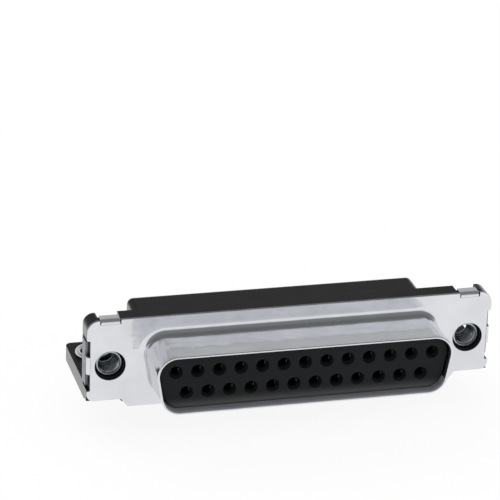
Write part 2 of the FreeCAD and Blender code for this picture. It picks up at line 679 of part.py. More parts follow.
def make_threaded_insert(label, sign):
    """A hexagonal nut behind the fixing hole, with a round nose in the wall and a threaded bore."""
    body = new_body(label, x=sign + FIXING)
    collar = new_sketch(body, "HexOutline", "XZ_Plane", WALL_REAR)
    across = "(hex_width / 2)"
    corner = "%s / cos(30)" % across
    edge = "%s * tan(30)" % across
    hexagon = [
        (corner, "0"),
        (edge, across),
        ("-%s" % edge, across),
        ("-%s" % corner, "0"),
        ("-%s" % edge, "-%s" % across),
        (edge, "-%s" % across),
    ]
    outline(collar, hexagon)
    pad(body, "Collar", collar, "hex_depth", "back")
    nose = new_sketch(body, "NoseOutline", "XZ_Plane", WALL_REAR)
    circle(nose, "0", "0", "nose_width")
    pad(body, "Nose", nose, "%s - nose_front" % WALL_REAR)
    bore = new_sketch(body, "BoreProfile", "XY_Plane")
    rear = "%s + hex_depth" % WALL_REAR
    profile = [
        ("0", "nose_front"),
        ("thread_bore / 2", "nose_front"),
        ("thread_bore / 2", "%s - thread_mouth" % rear),
        ("thread_bore / 2 + thread_mouth", rear),
        ("0", rear),
    ]
    outline(bore, profile)
    groove(body, "ThreadBore", bore)
    shoulder = new_sketch(body, "ShoulderProfile", "XY_Plane")
    profile = [
        (corner + " - hex_chamfer", rear),
        (corner + " + hex_chamfer", "%s - hex_chamfer" % rear),
        (corner + " + hex_chamfer", rear),
    ]
    outline(shoulder, profile)
    groove(body, "Shoulder", shoulder)
    return body


def make_eyelet(label, sign):
    """A plated ring that lines the end plate's hole."""
    body = new_body(label, x=sign + FIXING, y="lock_line")
    wall = new_sketch(body, "RingProfile", "XZ_Plane")
    profile = [
        ("ring_bore / 2", "plate_under"),
        ("tube_width / 2", "plate_under"),
        ("tube_width / 2", "plate_top"),
        ("ring_width / 2", "plate_top"),
        ("ring_width / 2", "plate_top + ring_height / 2"),
        ("ring_width / 2 - ring_height / 2", "plate_top + ring_height"),
        ("ring_bore / 2", "plate_top + ring_height"),
    ]
    outline(wall, profile)
    revolve(body, "Ring", wall)
    return body


def make_board_lock(label, sign):
    """A stamped board lock: foot plate, hollow square post with barbed prongs, serrated tongue."""
    body = new_body(label, x=sign + FIXING, y="lock_line")
    seat = "plate_under - foot_gauge"
    foot = new_sketch(body, "FootOutline", "XY_Plane", seat)
    rectangle(foot, "-foot_width / 2", "foot_width / 2", "foot_front - lock_line", "foot_rear - lock_line")
    pad(body, "Foot", foot, "foot_gauge")
    low, high = size(seat), size("plate_under")
    for x in (size("-foot_width / 2"), size("foot_width / 2")):
        for y in (size("foot_front - lock_line"), size("foot_rear - lock_line")):
            dress(body, "Chamfer", "FootCorner", (x, y, low), (x, y, high), "foot_bevel")

    half = "post_width / 2"
    post = new_sketch(body, "PostOutline", "XY_Plane", "post_tip")
    rounded_square(post, half, "post_round")
    pad(body, "Post", post, "post_top - post_tip")

    tongue = new_sketch(body, "TongueOutline", "XZ_Plane", "tongue_front - lock_line")
    tooth = "tongue_width / tongue_teeth"
    teeth = [("-tongue_width / 2", seat), ("tongue_width / 2", seat)]
    for count in range(round(size("tongue_teeth"))):
        start = "tongue_width / 2 - %d * %s" % (count, tooth)
        teeth.append((start, "tongue_tip - tooth_height"))
        teeth.append(("%s - %s / 2" % (start, tooth), "tongue_tip"))
    teeth.append(("-tongue_width / 2", "tongue_tip - tooth_height"))
    outline(tongue, teeth)
    pad(body, "Tongue", tongue, "foot_gauge", "back")

    barb = new_sketch(body, "BarbProfile", "XZ_Plane")
    for side in ("", "-"):
        corners = [
            (half + " - post_wall", "barb_top"),
            (half + " + barb_reach", "barb_top"),
            (half + " - post_wall", "barb_top - barb_height"),
        ]
        outline(barb, [("%s(%s)" % (side, x), z) for x, z in corners])
    pad(body, "Barbs", barb, "barb_width", "both")

    hollow = new_sketch(body, "HollowOutline", "XY_Plane", "post_tip")
    inside = "(%s - post_wall)" % half
    rectangle(hollow, "-" + inside, inside, "-" + inside, inside)
    pocket(body, "Hollow", hollow, "post_top - post_tip", "back")
    slits = new_sketch(body, "SlitOutline", "XY_Plane", "post_tip")
    cross = [
        ("prong_slit / 2", half + " + 1"),
        ("prong_slit / 2", "prong_slit / 2"),
        (half + " + 1", "prong_slit / 2"),
        (half + " + 1", "-prong_slit / 2"),
        ("prong_slit / 2", "-prong_slit / 2"),
        ("prong_slit / 2", "-%s - 1" % half),
    ]
    outline(slits, mirrored(cross))
    pocket(body, "Slits", slits, "prong_root - post_tip", "back")
    return body


def rounded_square(sketch, half, radius):
    """Draws a square about the sketch's origin with round corners."""
    flat = "(%s - %s)" % (half, radius)
    turns = (("", ""), ("-", ""), ("-", "-"), ("", "-"))
    corners = []
    for index, (across, along) in enumerate(turns):
        beside = (across + half, along + flat)
        above = (across + flat, along + half)
        first, last = (beside, above) if index % 2 == 0 else (above, beside)
        corners.append(first)
        corners.append(last + (radius, "left"))
    outline(sketch, corners)


def make_all():
    """Builds every sub-part, from the mating face to the board fixing."""
    bodies = [make_front_shell(), make_front_insulator(), make_rear_housing()]
    number = 0
    rows = (
        ("upper_ways", UPPER_START, UPPER_ROW, "far_row"),
        ("lower_ways", LOWER_START, LOWER_ROW, "near_row"),
    )
    for ways, start, height, distance in rows:
        for place in range(round(size(ways))):
            number += 1
            bodies.append(make_contact(number, "%s + %d * pitch" % (start, place), height, distance))
    for side, sign in (("left", "-"), ("right", "")):
        bodies.append(make_threaded_insert("threaded_insert_" + side, sign))
        bodies.append(make_eyelet("eyelet_" + side, sign))
        bodies.append(make_board_lock("board_lock_" + side, sign))
    return bodies


def check(bodies):
    """Stops the build unless every object is sound and every sub-part is one valid solid."""
    document.recompute()
    for thing in document.Objects:
        if "Invalid" in thing.State or "Error" in thing.State:
            raise RuntimeError("%s has failed" % thing.Label)
    for body in bodies:
        shape = body.Shape
        if shape.isNull() or not shape.isValid() or len(shape.Solids) != 1:
            raise RuntimeError("%s is not one valid solid" % body.Label)


bodies = make_all()
check(bodies)
os.makedirs("parts", exist_ok=True)
for body in bodies:
    body.Shape.exportStep("parts/%s.step" % body.Label)
    print("%s %.2f cubic millimetres" % (body.Label, body.Shape.Volume))
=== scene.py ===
"""Looks of a right-angle receptacle connector: plated shell, black mouldings, threads, rings and locks.

Lengths in the classes are millimetres in the part's own frame: X to the right seen from the mating
side, Y rearward, Z up, origin at the centre of the D on the flange's front face. Meshes are in metres.
"""

import logging
import math
from dataclasses import dataclass, field
from enum import Enum
from typing import Iterable

import bmesh
import bpy
import numpy as np
from bpy.types import Material, Mesh, Node, NodeSocket, Object, ShaderNodeTree
from mathutils import Matrix, Vector
from mathutils.geometry import tessellate_polygon


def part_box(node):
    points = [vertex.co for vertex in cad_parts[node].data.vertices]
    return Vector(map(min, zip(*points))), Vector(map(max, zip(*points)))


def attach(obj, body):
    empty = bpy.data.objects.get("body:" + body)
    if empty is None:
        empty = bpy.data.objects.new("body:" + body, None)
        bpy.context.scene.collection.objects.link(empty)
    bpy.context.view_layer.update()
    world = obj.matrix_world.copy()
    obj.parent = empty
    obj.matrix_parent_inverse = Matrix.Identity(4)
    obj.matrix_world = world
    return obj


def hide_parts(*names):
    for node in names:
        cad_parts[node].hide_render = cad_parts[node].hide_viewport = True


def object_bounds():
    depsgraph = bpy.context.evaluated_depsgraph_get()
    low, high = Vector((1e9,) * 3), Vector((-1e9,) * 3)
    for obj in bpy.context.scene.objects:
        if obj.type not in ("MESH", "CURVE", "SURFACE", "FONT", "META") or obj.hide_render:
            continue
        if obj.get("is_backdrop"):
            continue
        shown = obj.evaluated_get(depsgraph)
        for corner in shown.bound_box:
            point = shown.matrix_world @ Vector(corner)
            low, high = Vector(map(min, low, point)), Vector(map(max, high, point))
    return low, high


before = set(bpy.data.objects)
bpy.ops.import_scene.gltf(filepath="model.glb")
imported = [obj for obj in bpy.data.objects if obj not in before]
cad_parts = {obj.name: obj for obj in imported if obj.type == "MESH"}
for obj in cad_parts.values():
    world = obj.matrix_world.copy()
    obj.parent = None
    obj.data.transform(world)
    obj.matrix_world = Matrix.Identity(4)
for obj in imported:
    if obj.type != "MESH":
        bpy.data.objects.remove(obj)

LOG = logging.getLogger("connector")
MM = 0.001
MERGE = 2e-7  # distance in metres below which points are merged
FLAT = 0.5  # angle in degrees below which neighbouring faces are one plane
STEEP = 0.3  # part of a face's normal that tells a wall from a flat face
SOFT_STEPS = 2  # faces across a softened edge
BODY = "root"

Array = np.ndarray
Pair = tuple[float, float]
Triple = tuple[float, float, float]
Box = tuple[Array, Array]
Inputs = dict[str | int, object]


class Side(Enum):
    """The connector's two ends."""

    LEFT = -1
    RIGHT = 1

    def named(self, stem: str) -> str:
        """The name of the piece of this kind at this end."""
        return stem + "_" + self.name.lower()


class Slot(Enum):
    """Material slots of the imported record."""

    SHELL = "shell_plate"
    INSERT = "insert_plastic"
    HOUSING = "housing_plastic"
    CONTACT = "contact_metal"
    NUT = "zinc_insert"
    EYELET = "eyelet_plate"
    LOCK = "lock_plate"


def node_box(name: str) -> Box:
    """Reads a CAD node's lowest and highest corner in millimetres."""
    low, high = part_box(name)
    return np.array(low) / MM, np.array(high) / MM


class Surface:
    """Points and faces that are gathered from several patches and become one mesh."""

    def __init__(self) -> None:
        """Starts with nothing."""
        self.points: list[Array] = []
        self.faces: list[list[int]] = []
        self.count = 0

    def add(self, points: Array, faces: Array) -> None:
        """Takes in one patch.

        Args:
            points: its points, one row each, in millimetres.
            faces: rows of point numbers within the patch.
        """
        self.points.append(points)
        self.faces.extend((faces + self.count).tolist())
        self.count += len(points)

    def sleeve(self, rings: Array, close: bool = False) -> None:
        """Joins closed rings, each to the next, with four-sided faces.

        Args:
            rings: an array of rings by points by three.
            close: joins the last ring back to the first.
        """
        amount, around = rings.shape[:2]
        ring = np.arange(amount if close else amount - 1)[:, None]
        spot = np.arange(around)[None, :]
        after, beside = (ring + 1) % amount, (spot + 1) % around
        quads = np.stack(
            [ring * around + spot, ring * around + beside, after * around + beside, after * around + spot],
            axis=-1,
        )
        self.add(rings.reshape(-1, 3), quads.reshape(-1, 4))

    def cap(self, loops: list[Array]) -> None:
        """Fills the flat area inside the first loop and outside the others.

        Args:
            loops: closed loops in one plane, three numbers a point.
        """
        triangles = tessellate_polygon([[Vector(p) for p in loop] for loop in loops])
        self.add(np.concatenate(loops), np.array(triangles))

    def bar(self, rings: Array) -> None:
        """Joins closed rings and fills both ends.

        Args:
            rings: an array of rings by points by three.
        """
        self.sleeve(rings)
        self.cap([rings[0]])
        self.cap([rings[-1]])

    def build(self, name: str, sharp: float = 38.0) -> Object:
        """Makes the mesh, closed where patches meet, with its faces outwards.

        Args:
            name: the object's name.
            sharp: angle in degrees above which an edge stays sharp.

        Returns:
            The new object, at the origin.
        """
        mesh = bpy.data.meshes.new(name)
        mesh.from_pydata((np.concatenate(self.points) * MM).tolist(), [], self.faces)
        tidy(mesh)
        return smooth_object(name, mesh, sharp)


def tidy(mesh: Mesh, flat: float = 0.0) -> None:
    """Merges the points where patches meet and turns the faces outwards.

    Args:
        mesh: the mesh that is changed.
        flat: angle in degrees below which neighbouring faces become one, 0 for none.
    """
    work = bmesh.new()
    work.from_mesh(mesh)
    bmesh.ops.remove_doubles(work, verts=work.verts, dist=MERGE)
    if flat:
        bmesh.ops.dissolve_limit(work, angle_limit=math.radians(flat), verts=work.verts, edges=work.edges)
    bmesh.ops.recalc_face_normals(work, faces=work.faces)
    work.to_mesh(mesh)
    work.free()


def placed(name: str, data: bpy.types.ID) -> Object:
    """Puts a new object at the scene's origin.

    Args:
        name: its name.
        data: its mesh, lamp or camera.

    Returns:
        The new object.
    """
    thing = bpy.data.objects.new(name, data)
    bpy.context.scene.collection.objects.link(thing)
    return thing


def smooth_object(name: str, mesh: Mesh, sharp: float) -> Object:
    """Puts a mesh in the scene with smooth shading that keeps flat faces flat.

    Args:
        name: the object's name.
        mesh: its mesh.
        sharp: angle in degrees above which an edge stays sharp.

    Returns:
        The new object.
    """
    mesh.shade_smooth()
    mesh.set_sharp_from_angle(angle=math.radians(sharp))
    thing = placed(name, mesh)
    weighted = thing.modifiers.new("Flat faces", "WEIGHTED_NORMAL")
    weighted.keep_sharp = True
    return thing


def face_rows(mesh: Mesh, name: str) -> Array:
    """Reads a vector of every face.

    Args:
        mesh: the mesh.
        name: "center" or "normal".

    Returns:
        An array of faces by three.
    """
    rows = np.empty(len(mesh.polygons) * 3, dtype=np.float32)
    mesh.polygons.foreach_get(name, rows)
    return rows.reshape(-1, 3).astype(float)


def arc(centre: Pair, radius: float, start: float, end: float, count: int) -> Array:
    """Points of an arc: the centre plus the radius times the cosine and sine of evenly spaced angles.

    Args:
        centre: the arc's centre.
        radius: its radius.
        start: angle in degrees where it starts.
        end: angle in degrees where it ends.
        count: how many points it gets, both ends included.

    Returns:
        An array of points by two.
    """
    angle = np.radians(np.linspace(start, end, count))
    return np.stack([centre[0] + radius * np.cos(angle), centre[1] + radius * np.sin(angle)], axis=1)


def circle(centre: Pair, radius: float, count: int) -> Array:
    """Points of a full circle, the last one not repeated."""
    return arc(centre, radius, 0.0, 360.0, count + 1)[:-1]


def outward(loop: Array) -> Array:
    """Directions that lead out of a closed loop that runs anticlockwise.

    Each is the sum of the normals of the two sides that meet there, as long as it must be so that
    a step along it moves both sides by one unit.

    Args:
        loop: an array of points by two.

    Returns:
        An array of the same shape.
    """
    side = np.roll(loop, -1, axis=0) - loop
    side /= np.linalg.norm(side, axis=1, keepdims=True)
    normal = np.stack([side[:, 1], -side[:, 0]], axis=1)
    both = normal + np.roll(normal, 1, axis=0)
    return 2 * both / np.sum(both * both, axis=1, keepdims=True)


def rounded_loop(corners: Iterable[tuple[float, float, float]], count: int = 7) -> Array:
    """Points of an anticlockwise outline whose corners are rounded.

    At each corner the arc starts and ends at radius times the tangent of half the turn from it.

    Args:
        corners: x, z and radius of each corner.
        count: points on each corner.

    Returns:
        An array of points by two.
    """
    listed = list(corners)
    runs = []
    for index, (x, z, radius) in enumerate(listed):
        spot = np.array([x, z])
        before = spot - np.array(listed[index - 1][:2])
        after = np.array(listed[(index + 1) % len(listed)][:2]) - spot
        before, after = before / np.linalg.norm(before), after / np.linalg.norm(after)
        turn = math.atan2(before[0] * after[1] - before[1] * after[0], float(before @ after))
        side = math.copysign(1.0, turn)
        first = spot - before * radius * math.tan(abs(turn) / 2)
        centre = first + side * radius * np.array([-before[1], before[0]])
        start = math.degrees(math.atan2(first[1] - centre[1], first[0] - centre[0]))
        runs.append(arc((centre[0], centre[1]), radius, start, start + math.degrees(turn), count))
    return np.concatenate(runs)


def facing(loop: Array, depth: float | Array) -> Array:
    """Lays a loop of x and z upright at a distance behind the flange's face."""
    return np.stack([loop[:, 0], np.broadcast_to(depth, len(loop)), loop[:, 1]], axis=1)


def carried(loop: Array, profile: Array) -> Array:
    """Carries a profile along an upright loop: each point moves outwards and rearwards.

    Args:
        loop: the anticlockwise path, points by two.
        profile: distance outwards and place along Y, one row for each ring.

    Returns:
        An array of rings by points by three.
    """
    way = outward(loop)
    return np.stack([facing(loop + way * out, depth) for out, depth in profile])


def spaced(count: int) -> Array:
    """Angles evenly spaced over a full turn."""
    return np.linspace(0, 2 * math.pi, count, endpoint=False)


def wrapped(centre: Array, radius: Array, height: Array, axis: str) -> Array:
    """Wraps rings round a line: radius times the cosine and sine of spaced angles, and the height along it.

    Args:
        centre: a point on the line.
        radius: an array of rings by points.
        height: place along the line, one row for each ring.
        axis: "y" or "z", the line's direction.

    Returns:
        An array of rings by points by three.
    """
    angle = spaced(radius.shape[1])
    across, beside = radius * np.cos(angle), radius * np.sin(angle)
    height = np.broadcast_to(height, radius.shape)
    parts = (across, height, beside) if axis == "y" else (across, beside, height)
    return np.stack(parts, axis=-1) + centre


def turned(centre: Array, profile: Array, axis: str, count: int) -> Array:
    """Turns a profile of radius and height, one row for each ring, about a line through a centre."""
    return wrapped(centre, np.repeat(profile[:, :1], count, axis=1), profile[:, 1:], axis)


def quarter(start: Pair, end: Pair, bulge: int, count: int = 5) -> Array:
    """Points of a quarter of an ellipse from one point of a profile to another.

    Args:
        start: where it starts.
        end: where it ends.
        bulge: 0 if it leaves along the first axis, 1 if along the second.
        count: points, both ends included.

    Returns:
        An array of points by two.
    """
    angle = np.linspace(0, math.pi / 2, count)
    early, late = 1 - np.cos(angle), np.sin(angle)
    first, second = (late, early) if bulge == 0 else (early, late)
    return np.stack(
        [start[0] + (end[0] - start[0]) * first, start[1] + (end[1] - start[1]) * second], axis=1
    )


class NodeTree:
    """A few short ways to put shader nodes down and join them."""

    def __init__(self, tree: ShaderNodeTree) -> None:
        """Works on one node tree."""
        self.tree = tree

    def fill(self, node: Node, inputs: Inputs) -> None:
        """Gives inputs of a node another node's output or a plain value.

        Args:
            node: the node.
            inputs: the outputs or values, by the input's name or number.
        """
        for name, value in inputs.items():
            if isinstance(value, NodeSocket):
                self.tree.links.new(value, node.inputs[name])
            else:
                node.inputs[name].default_value = value

    def node(self, kind: str, inputs: Inputs | None = None, **values: object) -> Node:
        """Adds a node.

        Args:
            kind: the node's type.
            inputs: what its inputs get.
            values: its properties, which are set first.

        Returns:
            The new node.
        """
        made = self.tree.nodes.new(kind)
        for name, value in values.items():
            setattr(made, name, value)
        self.fill(made, inputs or {})
        return made

    def math(self, kind: str, first: object, second: object) -> NodeSocket:
        """Works with two outputs or numbers, and returns the result."""
        return self.node("ShaderNodeMath", {0: first, 1: second}, operation=kind).outputs[0]

    def ramp(self, value: NodeSocket, given: Pair, wanted: Pair = (0.0, 1.0)) -> NodeSocket:
        """Maps a value from one range to another, and keeps it inside."""
        ends = {"From Min": given[0], "From Max": given[1], "To Min": wanted[0], "To Max": wanted[1]}
        return self.node("ShaderNodeMapRange", {"Value": value, **ends}).outputs["Result"]

    def mix(self, share: NodeSocket, first: NodeSocket | Triple, second: NodeSocket | Triple) -> NodeSocket:
        """Mixes two colours.

        Args:
            share: how much there is of the second.
            first: an output, or three plain numbers.
            second: the same.

        Returns:
            The mixed colour.
        """
        made = self.node("ShaderNodeMix", {"Factor": share}, data_type="RGBA")
        sockets = [index for index, socket in enumerate(made.inputs) if socket.type == "RGBA"]
        for index, colour in zip(sockets, (first, second)):
            self.fill(made, {index: (*colour, 1.0) if isinstance(colour, tuple) else colour})
        return next(socket for socket in made.outputs if socket.type == "RGBA")

    def split(self, vector: NodeSocket) -> bpy.types.bpy_prop_collection:
        """Takes a vector apart into its X, Y and Z."""
        return self.node("ShaderNodeSeparateXYZ", {"Vector": vector}).outputs

    def noise(self, **inputs: object) -> NodeSocket:
        """Adds a layered noise and returns its value."""
        return self.node("ShaderNodeTexNoise", inputs).outputs["Fac"]


class Effect(NodeTree):
    """A shader node group that several finishes share: a Vector and named numbers in, a Mask out."""

    def __init__(self, name: str, **inputs: float) -> None:
        """Starts the group.

        Args:
            name: the group's name.
            inputs: its named inputs and their usual values.
        """
        super().__init__(bpy.data.node_groups.new(name, "ShaderNodeTree"))
        face = self.tree.interface
        face.new_socket("Vector", in_out="INPUT", socket_type="NodeSocketVector")
        for label, usual in inputs.items():
            face.new_socket(label, in_out="INPUT", socket_type="NodeSocketFloat").default_value = usual
        face.new_socket("Mask", in_out="OUTPUT", socket_type="NodeSocketFloat")
        self.given = self.node("NodeGroupInput").outputs

    def finish(self, mask: NodeSocket) -> ShaderNodeTree:
        """Puts the mask out and returns the group."""
        self.node("NodeGroupOutput", {"Mask": mask})
        return self.tree


@dataclass(frozen=True)
class Effects:
    """The shared node groups, and the numbers that are the same wherever they are used."""

    patch_contrast: Pair = (0.3, 0.7)
    scratch_turn: Triple = (0.35, 0.8, 0.2)  # their direction, turned about X, Y and Z
    scratch_detail: float = 2.0
    scratch_peaks: Pair = (0.62, 0.72)
    bare_cells: float = 0.8  # share of the cells that have no speck
    coarse_scale: float = 0.2

    def cloud(self) -> ShaderNodeTree:
        """Slow uneven patches, as on plating and on a moulding's face: layered noise of a given scale.

        Returns:
            The node group.
        """
        group = Effect("Cloudy patches", Scale=200.0, Detail=3.0)
        noise = group.noise(**{name: group.given[name] for name in ("Vector", "Scale", "Detail")})
        return group.finish(group.ramp(noise, self.patch_contrast))

    def scratch(self) -> ShaderNodeTree:
        """Fine handling scratches: noise drawn out along one direction, of which only the peaks are kept.

        Returns:
            The node group.
        """
        group = Effect("Fine scratches", Scale=900.0, Stretch=12.0, Amount=0.3)
        given = group.given
        turn = group.node("ShaderNodeMapping", {"Vector": given["Vector"], "Rotation": self.scratch_turn})
        stretch = group.node("ShaderNodeCombineXYZ", {"X": 1.0, "Y": 1.0, "Z": given["Stretch"]})
        factors = {0: turn.outputs["Vector"], 1: stretch.outputs["Vector"]}
        drawn = group.node("ShaderNodeVectorMath", factors, operation="MULTIPLY").outputs["Vector"]
        noise = group.noise(Vector=drawn, Scale=given["Scale"], Detail=self.scratch_detail)
        return group.finish(group.math("MULTIPLY", group.ramp(noise, self.scratch_peaks), given["Amount"]))

    def speck(self) -> ShaderNodeTree:
        """Small scattered specks and nicks: the near part of some cells of a cell pattern.

        Returns:
            The node group.
        """
        group = Effect("Scattered specks", Scale=700.0, Size=0.12)
        given = group.given
        cells = group.node("ShaderNodeTexVoronoi", {"Vector": given["Vector"], "Scale": given["Scale"]})
        near = group.math("LESS_THAN", cells.outputs["Distance"], given["Size"])
        shade = group.node("ShaderNodeSeparateColor", {"Color": cells.outputs["Color"]}).outputs["Red"]
        some = group.math("GREATER_THAN", shade, self.bare_cells)
        return group.finish(group.math("MULTIPLY", near, some))

    def grain(self) -> ShaderNodeTree:
        """The fine eroded grain that a mould leaves: two sizes of noise added together.

        Returns:
            The node group.
        """
        group = Effect("Mould grain", Scale=6000.0, Coarse=0.35)
        given = group.given
        fine = group.noise(Vector=given["Vector"], Scale=given["Scale"])
        wide = group.math("MULTIPLY", given["Scale"], self.coarse_scale)
        coarse = group.noise(Vector=given["Vector"], Scale=wide)
        return group.finish(group.math("ADD", fine, group.math("MULTIPLY", coarse, given["Coarse"])))

    def made(self) -> dict[str, ShaderNodeTree]:
        """Makes each group once, under its short name."""
        return {make.__name__: make() for make in (self.cloud, self.scratch, self.speck, self.grain)}


class Skin(NodeTree):
    """A finish's node tree, with the Object coordinates and the shared effects."""

    def __init__(self, tree: ShaderNodeTree, effects: dict[str, ShaderNodeTree]) -> None:
        """Starts on a material's tree.

        Args:
            tree: the tree.
            effects: the shared node groups by their short names.
        """
        super().__init__(tree)
        self.effects = effects
        self.place = self.node("ShaderNodeTexCoord").outputs["Object"]

    def use(self, effect: str, **values: float) -> NodeSocket:
        """Places a shared effect with a finish's own values and returns its mask."""
        inputs = {"Vector": self.place, **values}
        return self.node("ShaderNodeGroup", inputs, node_tree=self.effects[effect]).outputs[0]

    def relief(self, height: NodeSocket, bump: Pair, under: Inputs | None = None) -> NodeSocket:
        """Lets a height tilt the surface.

        Args:
            height: the height.
            bump: how strong it is, and how high in metres.
            under: the Normal of a relief under this one.

        Returns:
            The tilted normal.
        """
        inputs = {"Height": height, "Strength": bump[0], "Distance": bump[1], **(under or {})}
        return self.node("ShaderNodeBump", inputs).outputs["Normal"]


@dataclass(frozen=True)
class Finish:
    """What every finish has: a name, two colours that it wanders between and how glossy it is."""

    name: str
    slot: Slot
    colour: Triple
    second: Triple
    roughness: Pair

    def material(self, effects: dict[str, ShaderNodeTree]) -> Material:
        """Makes the material.

        Args:
            effects: the shared node groups.

        Returns:
            The new material.
        """
        material = bpy.data.materials.new(self.name)
        material.use_nodes = True
        skin = Skin(material.node_tree, effects)
        skin.fill(material.node_tree.nodes["Principled BSDF"], self.inputs(skin))
        return material

    def rough(self, skin: Skin, patches: NodeSocket) -> NodeSocket:
        """The roughness of the slow patches."""
        return skin.ramp(patches, (0.0, 1.0), self.roughness)


@dataclass(frozen=True)
class Plating(Finish):
    """Bright plated metal with slow patches, fine scratches and a few specks."""

    patch: float = 260.0
    patch_detail: float = 4.0
    patch_height: float = 0.35
    scratch: float = 0.25
    scratch_scale: float = 500.0
    scratch_stretch: float = 0.06
    scratch_rough: float = 0.25
    speck: float = 0.07
    speck_scale: float = 520.0
    bump: Pair = (0.4, 8e-6)  # strength, and height in metres
    wave: float = 0.0
    wave_scale: float = 330.0
    wave_detail: float = 2.5
    wave_strength: float = 0.5
    drift: float = 1.0
    drift_scale: float = 85.0
    drift_detail: float = 2.0
    metal: float = 1.0

    def marks(self, skin: Skin) -> tuple[NodeSocket, NodeSocket]:
        """The slow patches and the scratches."""
        scratch = {"Scale": self.scratch_scale, "Stretch": self.scratch_stretch, "Amount": self.scratch}
        return skin.use("cloud", Scale=self.patch, Detail=self.patch_detail), skin.use("scratch", **scratch)

    def inputs(self, skin: Skin) -> Inputs:
        """Works out what the shader gets.

        Args:
            skin: the finish's node tree.

        Returns:
            Outputs and plain values for the shader's inputs.
        """
        patches, lines = self.marks(skin)
        dots = skin.use("speck", Scale=self.speck_scale, Size=self.speck)
        colour = skin.mix(patches, self.colour, self.second)
        if self.drift < 1.0:
            colour = self.uneven(skin, colour)
        under = {}
        if self.wave:
            waves = skin.use("cloud", Scale=self.wave_scale, Detail=self.wave_detail)
            under = {"Normal": skin.relief(waves, (self.wave_strength, self.wave))}
        rough = skin.math("MULTIPLY", lines, self.scratch_rough)
        height = skin.math("MULTIPLY", patches, self.patch_height)
        height = skin.math("SUBTRACT", height, skin.math("ADD", lines, dots))
        return {
            "Base Color": colour,
            "Roughness": skin.math("ADD", self.rough(skin, patches), rough),
            "Normal": skin.relief(height, self.bump, under),
            "Metallic": self.metal,
        }

    def uneven(self, skin: Skin, colour: NodeSocket) -> NodeSocket:
        """Dims the colour in broad soft areas: the colour times a slow noise between the drift and 1.

        Args:
            skin: the finish's node tree.
            colour: the colour.

        Returns:
            The dimmed colour.
        """
        areas = skin.use("cloud", Scale=self.drift_scale, Detail=self.drift_detail)
        factors = {0: colour, "Scale": skin.ramp(areas, (0.0, 1.0), (self.drift, 1.0))}
        return skin.node("ShaderNodeVectorMath", factors, operation="SCALE").outputs["Vector"]


@dataclass(frozen=True)
class SelectivePlating(Plating):
    """Contact metal: gold at the front where the pins are gripped, tin on the tails."""

    # far darker than gold, as painted shade of the bores that the gold part sits in
    gold: Triple = (0.24, 0.19, 0.10)
    border: float = 1.6
    fade: float = 0.2

    def inputs(self, skin: Skin) -> Inputs:
        """Works out what the shader gets, changing from gold to tin along Y at the border.

        Args:
            skin: the finish's node tree.

        Returns:
            Outputs and plain values for the shader's inputs.
        """
        patches, lines = self.marks(skin)
        ends = (self.border - self.fade) * MM, (self.border + self.fade) * MM
        tin = skin.mix(patches, self.colour, self.second)
        return {
            "Base Color": skin.mix(skin.ramp(skin.split(skin.place)["Y"], ends), self.gold, tin),
            "Roughness": self.rough(skin, patches),
            "Normal": skin.relief(lines, self.bump),
            "Metallic": self.metal,
        }


@dataclass(frozen=True)
class Moulding(Finish):
    """Black moulded plastic with a fine grain and slightly uneven gloss, and where asked a painted
    highlight along its lower edge.
    """

    patch: float = 240.0
    patch_detail: float = 3.0
    grain: float = 5200.0
    coarse: float = 0.5
    dust: float = 0.05
    dust_scale: float = 900.0
    bump: Pair = (0.35, 6e-6)  # strength, and height in metres
    gloss: float = 0.3
    glancing: Pair = (0.62, 0.74)
    coat: float = 0.0
    coat_rough: float = 0.3
    # pale is the grey of a painted highlight along the lower edge, laid between the heights below
    pale: float = 0.0
    painted_glare_span: Pair = (-1.9, -3.6)  # heights where it starts and where it is full
    painted_glare_power: float = 2.0

    def inputs(self, skin: Skin) -> Inputs:
        """Works out what the shader gets.

        Args:
            skin: the finish's node tree.

        Returns:
            Outputs and plain values for the shader's inputs.
        """
        patches = skin.use("cloud", Scale=self.patch, Detail=self.patch_detail)
        grain = skin.use("grain", Scale=self.grain, Coarse=self.coarse)
        dust = skin.use("speck", Scale=self.dust_scale, Size=self.dust)
        colour = skin.mix(patches, self.colour, self.second)
        made = {
            "Base Color": self.paint_lower_glare(skin, colour) if self.pale else colour,
            "Roughness": self.rough(skin, patches),
            "Normal": skin.relief(skin.math("ADD", grain, dust), self.bump),
            "Specular IOR Level": self.gloss,
        }
        return {**made, **self.shine(skin)} if self.coat else made

    def paint_lower_glare(self, skin: Skin, colour: NodeSocket) -> NodeSocket:
        """Greys the moulding towards its lower edge as a painted highlight: the share is the square of the
        way down.

        Args:
            skin: the finish's node tree.
            colour: the colour above.

        Returns:
            The changing colour.
        """
        ends = self.painted_glare_span[0] * MM, self.painted_glare_span[1] * MM
        share = skin.math("POWER", skin.ramp(skin.split(skin.place)["Z"], ends), self.painted_glare_power)
        return skin.mix(share, colour, (self.pale,) * 3)

    def shine(self, skin: Skin) -> Inputs:
        """The skin's shine, which only shows where the surface is seen at a glancing angle.

        Args:
            skin: the finish's node tree.

        Returns:
            What the shader's coat gets.
        """
        away = skin.node("ShaderNodeLayerWeight").outputs["Facing"]
        weight = skin.ramp(away, self.glancing, (0.0, self.coat))
        return {"Coat Weight": weight, "Coat Roughness": self.coat_rough}


